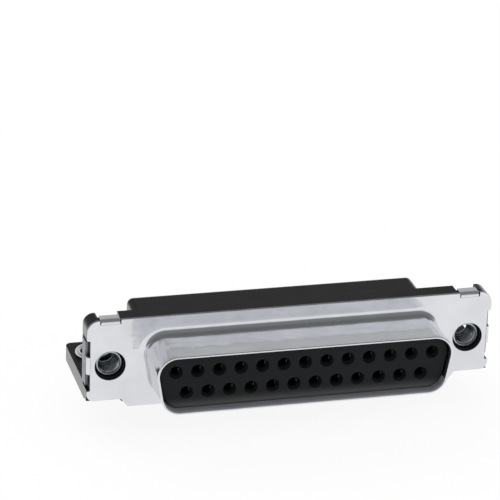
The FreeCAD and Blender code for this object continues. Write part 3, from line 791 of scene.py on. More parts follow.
SHELL = Plating(
    "bright plated steel", Slot.SHELL, (0.75, 0.76, 0.78), (0.69, 0.70, 0.73), (0.08, 0.15),
    wave=5e-5, drift=0.95,
)
ZINC = Plating(
    "zinc plated nut", Slot.NUT, (0.52, 0.56, 0.59), (0.40, 0.45, 0.50), (0.26, 0.38), patch=900.0,
)
# darker than the nut all through the bore, crests and roots alike
THREAD = Plating(
    "darker thread", Slot.NUT, (0.34, 0.37, 0.39), (0.14, 0.16, 0.17), (0.16, 0.24), patch=900.0,
)
# a half-matt copy of the plating for the up-facing lower inner wall alone, so that it lights up: painted
# light
LIT_INNER_WALL = Plating(
    "painted light inner wall", Slot.SHELL, (0.30, 0.31, 0.33), (0.25, 0.26, 0.28), (0.55, 0.65), metal=0.45,
)
# dull steel for the sheet's cut edges, also laid on the ears as painted shade
DULL_EDGE_AND_EAR_SHADE = Plating(
    "dull cut edge and painted ear shade", Slot.SHELL, (0.22, 0.23, 0.25), (0.16, 0.17, 0.19), (0.30, 0.42), patch=500.0,
)
RING = Plating(
    "plated eyelet", Slot.EYELET, (0.84, 0.85, 0.87), (0.74, 0.76, 0.80), (0.16, 0.26), patch=700.0,
)
LOCK = Plating(
    "stamped lock plate", Slot.LOCK, (0.78, 0.78, 0.79), (0.68, 0.69, 0.71), (0.24, 0.36), patch=600.0,
)
CONTACT = SelectivePlating(
    "contact strip", Slot.CONTACT, (0.78, 0.77, 0.75), (0.66, 0.66, 0.66), (0.22, 0.34),
    patch=800.0, patch_detail=3.0, scratch_scale=900.0, scratch_stretch=0.1, bump=(0.3, 3e-6),
)
INSERT_BLACK = Moulding(
    "satin black insert", Slot.INSERT, (0.005, 0.006, 0.007), (0.007, 0.008, 0.009), (0.42, 0.52),
    # pale: a painted highlight that greys the face towards its lower edge
    gloss=0.15, pale=0.11,
)
HOUSING_BLACK = Moulding(
    "black housing", Slot.HOUSING, (0.006, 0.006, 0.007), (0.009, 0.009, 0.010), (0.34, 0.44),
    gloss=0.08, coat=1.0,
)


class Workshop:
    """Makes each finish's material once and dresses the pieces in them."""

    def __init__(self, finishes: Iterable[Finish]) -> None:
        """Makes the materials of some finishes."""
        effects = Effects().made()
        self.materials = {finish.name: finish.material(effects) for finish in finishes}

    def coat(self, thing: Object, *finishes: Finish) -> None:
        """Gives an object its finish, and others that some of its faces may use.

        Args:
            thing: the object.
            finishes: the finishes, the usual one first.
        """
        thing.data.materials.clear()
        for each in finishes:
            thing.data.materials.append(self.materials[each.name])

    def dress(self, thing: Object, stands_for: str, *finishes: Finish) -> None:
        """Gives a new piece its finishes and its body, and hides the CAD node that it stands for.

        Args:
            thing: the piece.
            stands_for: the CAD node that it replaces.
            finishes: the finishes, the usual one first.
        """
        self.coat(thing, *finishes)
        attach(thing, BODY)
        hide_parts(stands_for)


def without(mesh: Mesh, boxes: list[Box]) -> Mesh:
    """Takes boxes off a closed mesh.

    Args:
        mesh: the mesh, which stays as it is.
        boxes: lowest and highest corner of each, in millimetres.

    Returns:
        A new mesh.
    """
    body, cutter = placed("body", mesh), placed("cutter", bpy.data.meshes.new("cutter"))
    work = bmesh.new()
    for low, high in boxes:
        size = Matrix.Diagonal((*((high - low) * MM), 1.0))
        place = Matrix.Translation(Vector((low + high) / 2 * MM)) @ size
        bmesh.ops.create_cube(work, size=1.0, matrix=place)
    work.to_mesh(cutter.data)
    work.free()
    cut = body.modifiers.new("Cut", "BOOLEAN")
    cut.operation, cut.object, cut.solver = "DIFFERENCE", cutter, "EXACT"
    result = bpy.data.meshes.new_from_object(body.evaluated_get(bpy.context.evaluated_depsgraph_get()))
    for thing in (body, cutter):
        bpy.data.objects.remove(thing)
    return result


def softened(node: str, name: str, width: float, cuts: Iterable[Box] = (), sharp: float = 30.0) -> Object:
    """Copies a CAD node and rounds its edges slightly, as a mould or a press leaves them.

    Args:
        node: the CAD node.
        name: the copy's name.
        width: how wide the rounding is, in millimetres.
        cuts: boxes that are taken off first.
        sharp: angle in degrees above which an edge is rounded.

    Returns:
        The new object.
    """
    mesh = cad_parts[node].data.copy()
    tidy(mesh)
    if cuts:
        mesh = without(mesh, cuts)
    tidy(mesh, FLAT)
    mesh.name = name
    thing = smooth_object(name, mesh, sharp)
    bevel = thing.modifiers.new("Soft edges", "BEVEL")
    bevel.width, bevel.segments = width * MM, SOFT_STEPS
    bevel.limit_method, bevel.angle_limit = "ANGLE", math.radians(sharp)
    thing.modifiers.move(1, 0)
    return thing


@dataclass
class DShape:
    """The D of the mating face: sides that lean in towards the bottom and four round corners."""

    width: float = 38.3
    height: float = 7.9
    slope: float = 10.0
    round: float = 2.6
    straight: int = 26
    flank: int = 4
    corner: int = 36

    def loop(self, inset: float) -> Array:
        """The outline moved inwards by a distance, anticlockwise from the right end of the top.

        Each corner is an arc about a fixed centre, so that every inset has the same number of points.

        Args:
            inset: distance inwards, negative outwards.

        Returns:
            An array of points by two.
        """
        level = self.height / 2 - self.round
        wide = self.width / 2 - self.round
        narrow = wide - 2 * level * math.tan(math.radians(self.slope))
        radius = self.round - inset
        ends = (
            (wide, level, -self.slope, 90.0),
            (-wide, level, 90.0, 180.0 + self.slope),
            (-narrow, -level, 180.0 + self.slope, 270.0),
            (narrow, -level, 270.0, 360.0 - self.slope),
        )
        corners = [arc((x, z), radius, start, end, self.corner) for x, z, start, end in ends]
        steps = (self.straight, self.flank, self.straight, self.flank)
        runs = []
        for index, (points, count) in enumerate(zip(corners, steps)):
            start, end = points[-1], corners[(index + 1) % 4][0]
            share = np.linspace(0, 1, count + 1)[1:-1, None]
            runs += [points, start + (end - start) * share]
        return np.concatenate(runs)


@dataclass
class FrontShell:
    """The plated sheet: flange, drawn D shroud, fixing holes and folded tabs."""

    shop: Workshop
    gauge: float = 0.4
    d: DShape = field(default_factory=DShape)
    root: float = 0.85
    rim: float = 0.14
    rim_flat: float = 0.02
    taper: float = 0.5
    edge: float = 0.07
    fixing: float = 23.52
    hole: float = 3.95
    end_drop: float = 4.75
    lip: float = 21.2
    lip_slant: float = 0.85
    top_round: float = 1.6
    bottom_round: float = 1.0
    small_round: float = 0.2
    tab_width: float = 2.5
    tab_bend: float = 0.6
    tab_reach: float = 1.6
    tab_relief: float = 0.08
    ear_height: float = 2.45
    ear_centre: float = 0.12
    ear_relief: float = 2.2
    ear_bend: float = 0.45
    ear_neck: float = 0.95
    ear_head: float = 6.1
    hole_steps: int = 48
    root_steps: int = 10
    wall_steps: int = 16
    rim_steps: int = 6
    taper_steps: int = 9
    bend_steps: int = 8
    wrinkle: float = 0.045
    wrinkle_step: float = 1.3
    wrinkle_from: float = 0.7
    wrinkle_end: float = 0.3
    wrinkle_fade: float = 1.2
    wrinkle_window: int = 9
    # each wave's share, pace round the D, lean with depth and start
    wrinkle_waves: tuple[tuple[float, ...], ...] = ((0.6, 1.0, 0.5, 0.0), (0.4, 1.7, -0.9, 1.3))

    def __post_init__(self) -> None:
        """Takes the outer sizes from the frame."""
        low, high = node_box("front_shell")
        self.half, self.top, self.drop = high[0], high[2], -low[2]
        self.depth, self.ear_reach = -low[1], high[1]

    def outline(self) -> Array:
        """The flange's outline: the right half from the bottom up, then its mirror image.

        Returns:
            An array of points by two.
        """
        cut = self.tab_width / 2 + self.tab_relief
        high = self.ear_centre + self.ear_height / 2 + self.ear_relief
        low = self.ear_centre - self.ear_height / 2 - self.ear_relief
        inner, small, notch = self.half - self.ear_bend, self.small_round, self.top - self.tab_bend
        right = [
            (self.lip, -self.drop, small),
            (self.lip + self.lip_slant, -self.end_drop, small),
            (self.half, -self.end_drop, self.bottom_round),
            (self.half, low, small),
            (inner, low, small / 2),
            (inner, high, small / 2),
            (self.half, high, small),
            (self.half, self.top, self.top_round),
            (self.fixing + cut, self.top, small / 4),
            (self.fixing + cut, notch, small / 4),
            (self.fixing - cut, notch, small / 4),
            (self.fixing - cut, self.top, small / 4),
        ]
        left = [(-x, z, radius) for x, z, radius in reversed(right)]
        return rounded_loop(right + left)

    def plate_profile(self) -> Array:
        """The sheet's edge: a small round in front, a straight wall, a small round behind.

        Returns:
            Distance outwards and place along Y, one row for each ring.
        """
        edge, gauge = self.edge, self.gauge
        back = quarter((0.0, gauge - edge), (-edge, gauge), 1)
        return np.concatenate([quarter((-edge, 0.0), (0.0, edge), 0), back])

    def shroud_profile(self) -> Array:
        """The drawn section, from the flange's face round the rim and back to the flange's rear face.

        Returns:
            Distance outwards and place along Y, one row for each ring.
        """
        gauge, root, rim, depth = self.gauge, self.root, self.rim, self.depth
        drawn = quarter((root, 0.0), (0.0, -root), 0, self.root_steps)
        along = np.linspace(-root, self.taper - depth, self.wall_steps)[1:-1]
        wall = np.stack([np.zeros_like(along), along], axis=1)
        outer = quarter((0.0, -depth + rim), (-rim, -depth), 1, self.rim_steps)
        lip, deep = (-rim - self.rim_flat, -depth), (-gauge, -depth + self.taper)
        inner = quarter(lip, deep, 0, self.taper_steps)
        lining = np.stack([np.full_like(along, -gauge), along[::-1]], axis=1)
        behind = quarter((-gauge, -root), (root, gauge), 1, self.root_steps)
        return np.concatenate([drawn, wall, outer, inner, lining, behind])

    def wrinkled(self, base: Array, rings: Array) -> Array:
        """Adds the slight wrinkles that drawing the sheet leaves round the D's corners.

        The wall moves in and out by the sum of two sine waves of the way travelled round the D. They
        count only where the D turns, and they fade out at the flange and at the rim.

        Args:
            base: the D's outline, points by two.
            rings: the shroud's rings over that outline.

        Returns:
            The moved rings.
        """
        way, window = outward(base), self.wrinkle_window
        step = np.linalg.norm(np.roll(base, -1, axis=0) - base, axis=1)
        turn = np.linalg.norm(np.roll(way, -1, axis=0) - way, axis=1) / step * self.d.round
        weight = np.convolve(np.tile(np.clip(turn, 0, 1), 3), np.full(window, 1 / window), "same")
        weight = weight[len(base):2 * len(base)]
        travelled = np.cumsum(step) / self.wrinkle_step * 2 * math.pi
        back = -rings[:, :, 1]
        wave = sum(
            share * np.sin(pace * travelled + lean * back + start)
            for share, pace, lean, start in self.wrinkle_waves
        )
        rim_side = np.clip((self.depth - self.wrinkle_end - back) / self.wrinkle_fade, 0, 1)
        shift = self.wrinkle * weight * wave * (np.clip(back - self.wrinkle_from, 0, 1) * rim_side)
        return rings + np.stack([way[:, 0] * shift, np.zeros_like(shift), way[:, 1] * shift], axis=-1)

    def body(self, surface: Surface) -> None:
        """Adds the flange and the shroud as one closed skin.

        Args:
            surface: what it is added to.
        """
        base = self.d.loop(0.0)
        shroud = self.wrinkled(base, carried(base, self.shroud_profile()))
        skins = [carried(self.outline(), self.plate_profile()), shroud]
        surface.sleeve(shroud)
        surface.sleeve(skins[0])
        for side in Side:
            ring = circle((side.value * self.fixing, 0.0), self.hole / 2, self.hole_steps)
            skins.append(carried(ring, self.plate_profile() * np.array([-1.0, 1.0])))
            surface.sleeve(skins[-1])
        for end in (0, -1):
            surface.cap([skin[end] for skin in skins])

    def section(self, width: float) -> Array:
        """Places of the eight corners of a tab's bevelled section across its width."""
        flank, full = np.repeat([1, -1], 4), np.array([0, 1, 1, 0, 0, 1, 1, 0])
        return flank * (width / 2 - self.edge + self.edge * full)

    def folded(self, surface: Surface, bend: float, runs: list[Pair],
               place: Array, out: Array, along: Array) -> None:
        """Adds a folded tab: the sheet leaves the flange outwards, bends and runs rearwards.

        The section across the tab is a rectangle with bevelled corners, and it is carried along the
        quarter bend and the straight run.

        Args:
            surface: what it is added to.
            bend: outer bend radius.
            runs: distance behind the flange's face and width of each stretch, the first at the bend.
            place: the middle of the flange's edge where it starts, on the flange's face.
            out: direction in which it leaves the flange.
            along: direction of its width.
        """
        rear = np.array([0.0, 1.0, 0.0])
        gauge, edge = self.gauge, self.edge
        radius = bend - np.array([0.0, edge, gauge - edge, gauge, gauge, gauge - edge, edge, 0.0])
        rings = [
            place + bend * rear
            + np.outer(radius * math.sin(turn), out)
            - np.outer(radius * math.cos(turn), rear)
            + np.outer(self.section(runs[0][1]), along)
            for turn in np.linspace(0, math.pi / 2, self.bend_steps)
        ]
        reach, width = runs[-1]
        thin = np.clip(radius, bend - gauge + edge, bend - edge)
        stretches = [(run, radius, wide) for run, wide in runs] + [(reach + edge, thin, width - 2 * edge)]
        for run, level, wide in stretches:
            rings.append(place + run * rear + np.outer(level, out) + np.outer(self.section(wide), along))
        surface.bar(np.stack(rings))

    def marked(self, mesh: Mesh) -> None:
        """Gives the cut edges the second finish, and the ears too as painted shade; gives the lower inner
        wall the third, a half-matt copy of the plating as painted light.

        Args:
            mesh: the shell's mesh.
        """
        x, y, z = (face_rows(mesh, "center") / MM).T
        normal = face_rows(mesh, "normal")
        # the ears take the cut edges' dull finish as painted shade
        ear = (np.abs(x) > self.half - self.gauge) & (y > self.ear_bend)
        cut = (np.abs(normal[:, 1]) < STEEP) & (self.edge / 2 < y) & (y < self.gauge - self.edge / 2)
        # the up-facing lower inner wall gets the half-matt copy as painted light
        inside = (normal[:, 2] > STEEP) & (y < -self.root) & (z < 0)
        index = np.where(inside, 2, (ear | cut).astype(int))
        mesh.polygons.foreach_set("material_index", index.astype(np.int32))

    def build(self) -> None:
        """Builds the whole shell as one piece."""
        surface = Surface()
        self.body(surface)
        right, up = np.array([1.0, 0.0, 0.0]), np.array([0.0, 0.0, 1.0])
        tab = [(self.tab_reach, self.tab_width)]
        ear = [
            (self.ear_neck, self.ear_height),
            (self.ear_neck + self.edge, self.ear_head),
            (self.ear_reach - self.edge, self.ear_head),
        ]
        for side in Side:
            sign = side.value
            start = np.array([sign * self.fixing, 0.0, self.top - self.tab_bend])
            self.folded(surface, self.tab_bend, tab, start, up, right)
            start = np.array([sign * (self.half - self.ear_bend), 0.0, self.ear_centre])
            self.folded(surface, self.ear_bend, ear, start, right * sign, up)
        sheet = surface.build("shell_sheet")
        self.shop.dress(sheet, "front_shell", SHELL, DULL_EDGE_AND_EAR_SHADE, LIT_INNER_WALL)
        self.marked(sheet.data)


@dataclass
class FrontInsulator:
    """The black insert: a D body with funnelled bores, and the collar behind the flange."""

    shop: Workshop
    shell: FrontShell
    gap: float = 0.05
    soft: float = 0.25
    low_soft: float = 0.35
    low_from: float = 1.6  # how far below the middle the softer edge starts
    low_over: float = 1.6  # height over which it grows
    pitch: float = 2.77
    row_gap: float = 2.84
    upper: int = 13
    lower: int = 12
    mouth: float = 1.86
    mouth_roll: Pair = (0.08, 0.06)  # how far in and how deep the mouth rolls
    bore: float = 1.16
    cone: float = 0.5
    cone_end: Pair = (0.03, 0.06)  # how far out and how deep the cone's end is soft
    entry: float = 0.85
    entry_step: float = 0.02
    cavity_width: float = 1.5
    cavity_height: float = 1.3
    cavity_depth: float = 2.6
    cavity_power: float = 5.0
    collar_round: float = 1.5
    collar_edge: float = 0.1
    collar_gap: float = 0.01
    edge_steps: int = 9
    roll_steps: int = 4
    around: int = 32

    def __post_init__(self) -> None:
        """Takes the face's and the collar's place from the frame."""
        low, high = node_box("front_insulator")
        self.face, self.rear = low[1], high[1]
        self.collar = (high[0], high[2])

    def places(self) -> Array:
        """The centres of the bores, upper row first.

        Returns:
            The x and z of each.
        """
        rows = ((self.upper, self.row_gap / 2), (self.lower, -self.row_gap / 2))
        runs = [
            np.stack([(np.arange(ways) - (ways - 1) / 2) * self.pitch, np.full(ways, height)], axis=1)
            for ways, height in rows
        ]
        return np.concatenate(runs)

    def body(self) -> Array:
        """The D's wall: a rounded front edge that is broader along the bottom, then straight to the flange.

        The edge's radius at a height is a mix of the usual and the bottom's radius, and each point of
        the quarter round is that radius times the point of a unit quarter.

        Returns:
            An array of rings by points by three.
        """
        base = self.shell.d.loop(self.shell.gauge + self.gap)
        way = outward(base)
        share = np.clip((-base[:, 1] - self.low_from) / self.low_over, 0.0, 1.0)
        soft = self.soft + (self.low_soft - self.soft) * share * share * (3 - 2 * share)
        rings = [
            facing(base + way * (back * soft)[:, None], self.face + along * soft)
            for back, along in quarter((-1.0, 0.0), (0.0, 1.0), 0, self.edge_steps)
        ]
        rings.append(facing(base, self.shell.gauge))
        return np.stack(rings)

    def funnel_profile(self) -> Array:
        """Radius and depth of a bore: a rolled-in mouth, a cone, and the straight entry.

        Returns:
            One row for each ring.
        """
        mouth, bore, face = self.mouth / 2, self.bore / 2, self.face
        (roll, roll_depth), (soft, soft_depth) = self.mouth_roll, self.cone_end
        lip = quarter((mouth, face), (mouth - roll, face + roll_depth), 0, self.roll_steps)
        throat = face + self.cone
        cone = np.array([[bore + soft, throat], [bore, throat + soft_depth]])
        entry = np.array([[bore, face + self.entry], [bore + self.entry_step, face + self.entry]])
        return np.concatenate([lip, cone, entry])

    def cavity(self, centre: Array) -> Array:
        """The room behind the entry: rounded rectangles whose points answer to those of the bore.

        A point's distance from the centre is such that the powers of its two parts add up to one.

        Args:
            centre: the bore's centre, as x and z.

        Returns:
            An array of rings by points by three.
        """
        angle, power = spaced(self.around), self.cavity_power
        across, up = np.cos(angle), np.sin(angle)
        long = (np.abs(across) ** power + np.abs(up) ** power) ** (-1 / power)
        x = centre[0] + across * long * self.cavity_width / 2
        z = centre[1] + up * long * self.cavity_height / 2
        front = self.face + self.entry
        return np.stack([facing(np.stack([x, z], axis=1), y) for y in (front, front + self.cavity_depth)])

    def build(self) -> None:
        """Builds the insert as one piece."""
        surface = Surface()
        body = self.body()
        surface.sleeve(body)
        surface.cap([body[-1]])
        mouths = []
        for centre in self.places():
            middle = np.array([centre[0], 0.0, centre[1]])
            bore = turned(middle, self.funnel_profile(), "y", self.around)
            room = self.cavity(centre)
            surface.sleeve(np.concatenate([bore, room]))
            surface.cap([room[-1]])
            mouths.append(bore[0])
        surface.cap([body[0], *mouths])
        self.add_collar(surface)
        self.shop.dress(surface.build("insulator_moulding"), "front_insulator", INSERT_BLACK)

    def add_collar(self, surface: Surface) -> None:
        """Adds the collar that the shell clamps, a thin block with round corners.

        Args:
            surface: what it is added to.
        """
        wide, tall = self.collar
        ends = ((wide, -tall), (wide, tall), (-wide, tall), (-wide, -tall))
        corners = [(x, z, self.collar_round) for x, z in ends]
        front, rear, edge = self.shell.gauge + self.collar_gap, self.rear, self.collar_edge
        profile = np.array([[-edge, front], [0.0, front + edge], [0.0, rear - edge], [-edge, rear]])
        surface.bar(carried(rounded_loop(corners), profile))


@dataclass
class ThreadedInsert:
    """A hexagonal clinch nut behind the fixing hole, with a cut thread in its bore."""

    shop: Workshop
    side: Side
    minor: float = 2.3
    major: float = 2.86
    pitch: float = 0.635
    crest: Pair = (1.25, 0.12)  # height and cut of the wave, which make its tops flat
    flare: float = 0.32
    flare_depth: float = 0.3
    thread_reach: float = 0.3
    thread_fade: float = 0.5
    thread_rings: int = 110
    nose: float = 3.55
    nose_edge: float = 0.1
    chamfer: float = 0.3
    chamfer_run: float = 0.18
    corner: float = 0.08
    edge: float = 0.05
    shoulder: float = 3.0
    across: float = 4.8
    around: int = 60
    sharp: float = 50.0

    def __post_init__(self) -> None:
        """Takes the nut's place from the frame."""
        self.node = self.side.named("threaded_insert")
        low, high = node_box(self.node)
        self.centre = np.array([(low[0] + high[0]) / 2, 0.0, (low[2] + high[2]) / 2])
        self.front, self.rear = low[1], high[1]

    def bore(self) -> Array:
        """The threaded wall, from the rear to the front.

        Its radius at an angle and a depth is the minor radius plus the thread's depth times a rounded
        triangle wave of depth over pitch less angle over a full turn, faded out at both mouths.

        Returns:
            An array of rings by points by three.
        """
        depth = np.linspace(self.rear, self.front, self.thread_rings)[:, None]
        from_front, from_rear = depth - self.front, self.rear - depth
        phase = (depth / self.pitch - spaced(self.around)[None, :] / (2 * math.pi)) % 1.0
        wave = np.clip(self.crest[0] * (1 - np.abs(2 * phase - 1)) - self.crest[1], 0.0, 1.0)
        ends = np.clip(np.minimum(from_front, from_rear) / (self.thread_fade * self.pitch), 0.0, 1.0)
        radius = self.minor / 2 + (self.major - self.minor) / 2 * wave * ends
        mouths = (np.clip(1 - way / self.flare_depth, 0, 1) for way in (from_front, from_rear))
        return wrapped(self.centre, radius + self.flare * sum(mouths), depth, "y")

    def outside(self) -> Array:
        """The outer wall, from the front to the rear: the round nose, then a hexagon with rounded corners.

        The hexagon's radius is half its width over the cosine of the angle from the nearest side's middle.

        Returns:
            An array of rings by points by three.
        """
        sixth = math.pi / 6
        turn = (spaced(self.around) + sixth) % (2 * sixth) - sixth
        straight = self.across / 2 / np.cos(turn - sixth * np.sign(turn))
        tip = self.across / 2 / math.cos(sixth)
        hexagon, crown = np.minimum(straight, tip - self.corner), np.minimum(straight, tip - self.chamfer)
        nose, inner, edge, bevel = self.nose / 2, self.minor / 2 + self.flare, self.edge, self.nose_edge
        front, shoulder, rear = self.front, self.shoulder, self.rear
        rings = (
            (inner, front), (nose - bevel, front), (nose, front + bevel), (nose, shoulder),
            (hexagon - edge, shoulder), (hexagon, shoulder + edge), (hexagon, rear - self.chamfer_run),
            (crown, rear - edge), (crown - edge, rear), (inner, rear),
        )
        radius = np.stack([np.broadcast_to(wide, self.around) for wide, _ in rings])
        return wrapped(self.centre, radius, np.array([[depth] for _, depth in rings]), "y")

    def build(self) -> None:
        """Builds the nut as one closed piece, with the darker finish in its thread."""
        surface = Surface()
        surface.sleeve(np.concatenate([self.outside(), self.bore()[1:-1]]), close=True)
        nut = surface.build(self.side.named("threaded_nut"), self.sharp)
        self.shop.dress(nut, self.node, ZINC, THREAD)
        middle = face_rows(nut.data, "center") / MM - self.centre
        thread = np.hypot(middle[:, 0], middle[:, 2]) < self.minor / 2 + self.thread_reach
        nut.data.polygons.foreach_set("material_index", thread.astype(np.int32))


@dataclass
class Eyelet:
    """A plated ring with a rolled lip that lines the end plate's hole."""

    shop: Workshop
    side: Side
    bore: float = 3.25
    tube: float = 3.95
    lip_height: float = 0.35
    lip_edge: Pair = (0.04, 0.05)  # how far in and how high the lip's lower edge is cut
    mouth: float = 0.3
    steps: int = 7
    around: int = 56

    def __post_init__(self) -> None:
        """Takes the ring's place from the frame."""
        self.node = self.side.named("eyelet")
        low, high = node_box(self.node)
        self.centre = np.array([(low[0] + high[0]) / 2, (low[1] + high[1]) / 2, 0.0])
        self.low, self.high, self.lip = low[2], high[2], (high[0] - low[0]) / 2

    def build(self) -> None:
        """Builds the ring: a half-round lip, a tube and the bore that rounds into the lip."""
        bore, tube, lip, high = self.bore / 2, self.tube / 2, self.lip, self.high
        seat, crown = high - self.lip_height, (bore + lip) / 2
        profile = np.concatenate([
            [[bore, self.low], [tube, self.low], [tube, seat], [lip - self.lip_edge[0], seat]],
            quarter((lip, seat + self.lip_edge[1]), (crown, high), 1, self.steps),
            quarter((crown, high), (bore, high - self.mouth), 0, self.steps)[1:],
        ])
        surface = Surface()
        surface.sleeve(turned(self.centre, profile, "z", self.around), close=True)
        self.shop.dress(surface.build(self.side.named("rolled_eyelet")), self.node, RING)


@dataclass
class Moulded:
    """The rear housing and the board locks, whose solids are trimmed a little and softened."""

    shop: Workshop
    shell: FrontShell
    housing_edge: float = 0.09
    lock_edge: float = 0.05
    notch_width: float = 2.8
    notch_floor: float = 5.4
    wall_rear: float = 3.02
    foot_depth: float = 1.8
    spare: float = 0.4

    def cuts(self) -> list[Box]:
        """The boxes that are taken off the wall: behind each top tab and under the flange's ends.

        Returns:
            The lowest and highest corner of each.
        """
        shell, spare, half = self.shell, self.spare, self.notch_width / 2
        front, level, top = shell.gauge - spare, -shell.end_drop - shell.edge, shell.top + spare
        boxes = []
        for side in Side:
            middle = side.value * shell.fixing
            inner, outer = sorted(side.value * x for x in (shell.lip + shell.lip_slant, shell.half + spare))
            boxes += [
                [(middle - half, front, self.notch_floor), (middle + half, self.wall_rear, top)],
                [(inner, front, level - 2 * spare), (outer, self.foot_depth, level)],
            ]
        return [(np.array(low), np.array(high)) for low, high in boxes]

    def build(self) -> None:
        """Builds the three softened pieces."""
        housing = softened("rear_housing", "housing_moulding", self.housing_edge, self.cuts())
        self.shop.dress(housing, "rear_housing", HOUSING_BLACK)
        for side in Side:
            node = side.named("board_lock")
            self.shop.dress(softened(node, side.named("stamped_lock"), self.lock_edge), node, LOCK)


@dataclass
class Contacts:
    """The stamped contacts keep their solids and get their plating."""

    shop: Workshop

    def build(self) -> None:
        """Dresses every contact node."""
        for name in sorted(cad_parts):
            if name.startswith("contact_"):
                self.shop.coat(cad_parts[name], CONTACT)


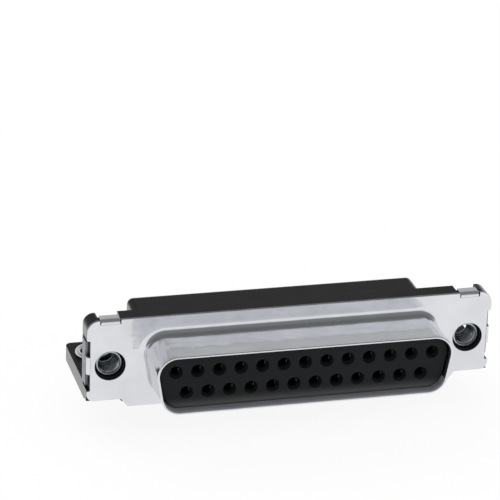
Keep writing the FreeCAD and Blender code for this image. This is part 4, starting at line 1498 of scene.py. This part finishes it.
@dataclass
class Studio:
    """Floor, lamps, sky and the camera at the photograph's angle."""

    azimuth: float = -16.62
    elevation: float = 25.19
    roll: float = 2.61
    distance: float = 363.8
    focus: float = 2864.0
    picture: float = 500.0
    origin_x: float = 291.6
    origin_y: float = 351.35
    sensor: float = 36.0
    seen_from: float = 0.01
    seen_to: float = 20.0
    floor_half: float = 2500.0
    floor_gap: float = 0.02
    floor_white: float = 0.9
    floor_grey: float = 0.93
    floor_rough: float = 0.9
    floor_gloss: float = 0.1
    even_light: float = 0.8
    sky_blue: float = 1.02
    # angle over the top in degrees, and brightness
    sky_stops: tuple[Pair, ...] = (
        (0.0, 0.98), (27.0, 0.92), (36.0, 0.50), (42.0, 0.27), (95.0, 0.21),
        (125.0, 0.28), (152.0, 0.52), (165.0, 0.66), (180.0, 0.85),
    )
    # name, direction, strength, and width in degrees
    lamps: tuple[tuple[str, Triple, float, float], ...] = (
        ("rear softbox", (-0.35, 0.75, 0.85), 0.8, 50.0),
        ("front fill", (0.5, -0.9, 0.75), 0.6, 70.0),
    )

    def camera(self) -> None:
        """Places the camera.

        It looks from the azimuth and elevation at the part's origin, is rolled about its line of
        sight, and is then turned so that the origin falls on its pixel of the picture.
        """
        a, e, roll = (math.radians(x) for x in (self.azimuth, self.elevation, self.roll))
        back = np.array([math.sin(a) * math.cos(e), -math.cos(a) * math.cos(e), math.sin(e)])
        right = np.cross([0.0, 0.0, 1.0], back)
        right /= np.linalg.norm(right)
        up = np.cross(back, right)
        right, up = (
            math.cos(roll) * right + math.sin(roll) * up,
            math.cos(roll) * up - math.sin(roll) * right,
        )
        axes = Matrix(np.stack([right, up, back], axis=1).tolist())
        middle = self.picture / 2
        aim = Vector((self.origin_x - middle, middle - self.origin_y, -self.focus)).normalized()
        turn = Vector((0.0, 0.0, -1.0)).rotation_difference(aim).to_matrix()
        data = bpy.data.cameras.new("camera")
        data.sensor_width = self.sensor
        data.lens = self.focus / self.picture * data.sensor_width
        data.clip_start, data.clip_end = self.seen_from, self.seen_to
        thing = placed("camera", data)
        place = Matrix.Translation(Vector(back * self.distance * MM))
        thing.matrix_world = place @ (axes @ turn.transposed()).to_4x4()
        bpy.context.scene.camera = thing

    def floor(self, level: float) -> None:
        """Lays the pale floor under the part's lowest point.

        Args:
            level: height of the lowest point, in metres.
        """
        half, height = self.floor_half * MM, level - self.floor_gap * MM
        mesh = bpy.data.meshes.new("floor")
        corners = ((-half, -half), (half, -half), (half, half), (-half, half))
        mesh.from_pydata([(x, y, height) for x, y in corners], [], [(0, 1, 2, 3)])
        thing = placed("floor", mesh)
        mesh.materials.append(self.floor_material())
        thing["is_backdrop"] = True

    def floor_material(self) -> Material:
        """A pale matt floor that the camera and the metal see as nearly white, with the soft shadow kept.

        Returns:
            The new material.
        """
        material = bpy.data.materials.new("pale floor")
        material.use_nodes = True
        tree, nodes = NodeTree(material.node_tree), material.node_tree.nodes
        shader = nodes["Principled BSDF"]
        colour = (*(self.floor_grey,) * 3, 1.0)
        plain = {"Roughness": self.floor_rough, "Specular IOR Level": self.floor_gloss}
        tree.fill(shader, {"Base Color": colour, **plain})
        path = tree.node("ShaderNodeLightPath").outputs
        seen = tree.math("MAXIMUM", path["Is Camera Ray"], path["Is Glossy Ray"])
        seen = tree.math("MAXIMUM", seen, path["Is Transmission Ray"])
        glow = tree.node("ShaderNodeEmission").outputs["Emission"]
        white = tree.math("MULTIPLY", seen, self.floor_white)
        mixed = tree.node("ShaderNodeMixShader", {0: white, 1: shader.outputs["BSDF"], 2: glow})
        tree.fill(nodes["Material Output"], {"Surface": mixed.outputs["Shader"]})
        return material

    def sky(self) -> None:
        """Lights everything evenly and gives the metal something to reflect.

        The camera sees white and rough surfaces get an even light. What is reflected depends on the
        angle over the top, from the front horizon at 0 to the rear horizon at 180 degrees, which is
        the arc tangent of the direction's height and its way towards the front.
        """
        world = bpy.data.worlds.new("studio")
        world.use_nodes = True
        bpy.context.scene.world = world
        tree = NodeTree(world.node_tree)
        parts = tree.split(tree.node("ShaderNodeTexCoord").outputs["Generated"])
        angle = tree.math("ARCTAN2", parts["Z"], tree.math("MULTIPLY", parts["Y"], -1.0))
        ramp = tree.node("ShaderNodeValToRGB", {"Fac": tree.math("DIVIDE", angle, math.pi)})
        while len(ramp.color_ramp.elements) < len(self.sky_stops):
            ramp.color_ramp.elements.new(0.5)
        for element, (degrees, level) in zip(ramp.color_ramp.elements, self.sky_stops):
            element.position = degrees / 180
            element.color = (level, level, level * self.sky_blue, 1.0)
        path = tree.node("ShaderNodeLightPath").outputs
        even = tree.mix(path["Is Diffuse Ray"], ramp.outputs["Color"], (self.even_light,) * 3)
        seen = tree.mix(path["Is Camera Ray"], even, (1.0,) * 3)
        tree.fill(world.node_tree.nodes["Background"], {"Color": seen, "Strength": 1.0})

    def lamp(self, name: str, way: Triple, strength: float, spread: float) -> None:
        """Adds one broad, even light from a direction, which glossy surfaces don't show.

        Args:
            name: the lamp's name.
            way: direction from the part to the lamp.
            strength: how bright it is.
            spread: how wide it is seen from the part, in degrees.
        """
        data = bpy.data.lights.new(name, "SUN")
        data.energy, data.angle = strength, math.radians(spread)
        thing = placed(name, data)
        thing.rotation_mode = "QUATERNION"
        thing.rotation_quaternion = Vector(way).to_track_quat("Z", "Y")
        thing.visible_glossy = False

    def build(self) -> None:
        """Sets up the whole studio."""
        self.camera()
        self.floor(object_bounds()[0].z)
        self.sky()
        for lamp in self.lamps:
            self.lamp(*lamp)
        bpy.context.scene.view_settings.view_transform = "Standard"


def main() -> None:
    """Builds the studio and every sub-assembly."""
    logging.basicConfig(level=logging.INFO, format="%(message)s")
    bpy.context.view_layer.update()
    plated = (SHELL, DULL_EDGE_AND_EAR_SHADE, LIT_INNER_WALL, ZINC, THREAD, RING, LOCK, CONTACT)
    shop = Workshop((*plated, INSERT_BLACK, HOUSING_BLACK))
    Studio().build()
    shell = FrontShell(shop)
    shell.build()
    FrontInsulator(shop, shell).build()
    Moulded(shop, shell).build()
    Contacts(shop).build()
    for side in Side:
        ThreadedInsert(shop, side).build()
        Eyelet(shop, side).build()


if __name__ == "__main__":
    main()
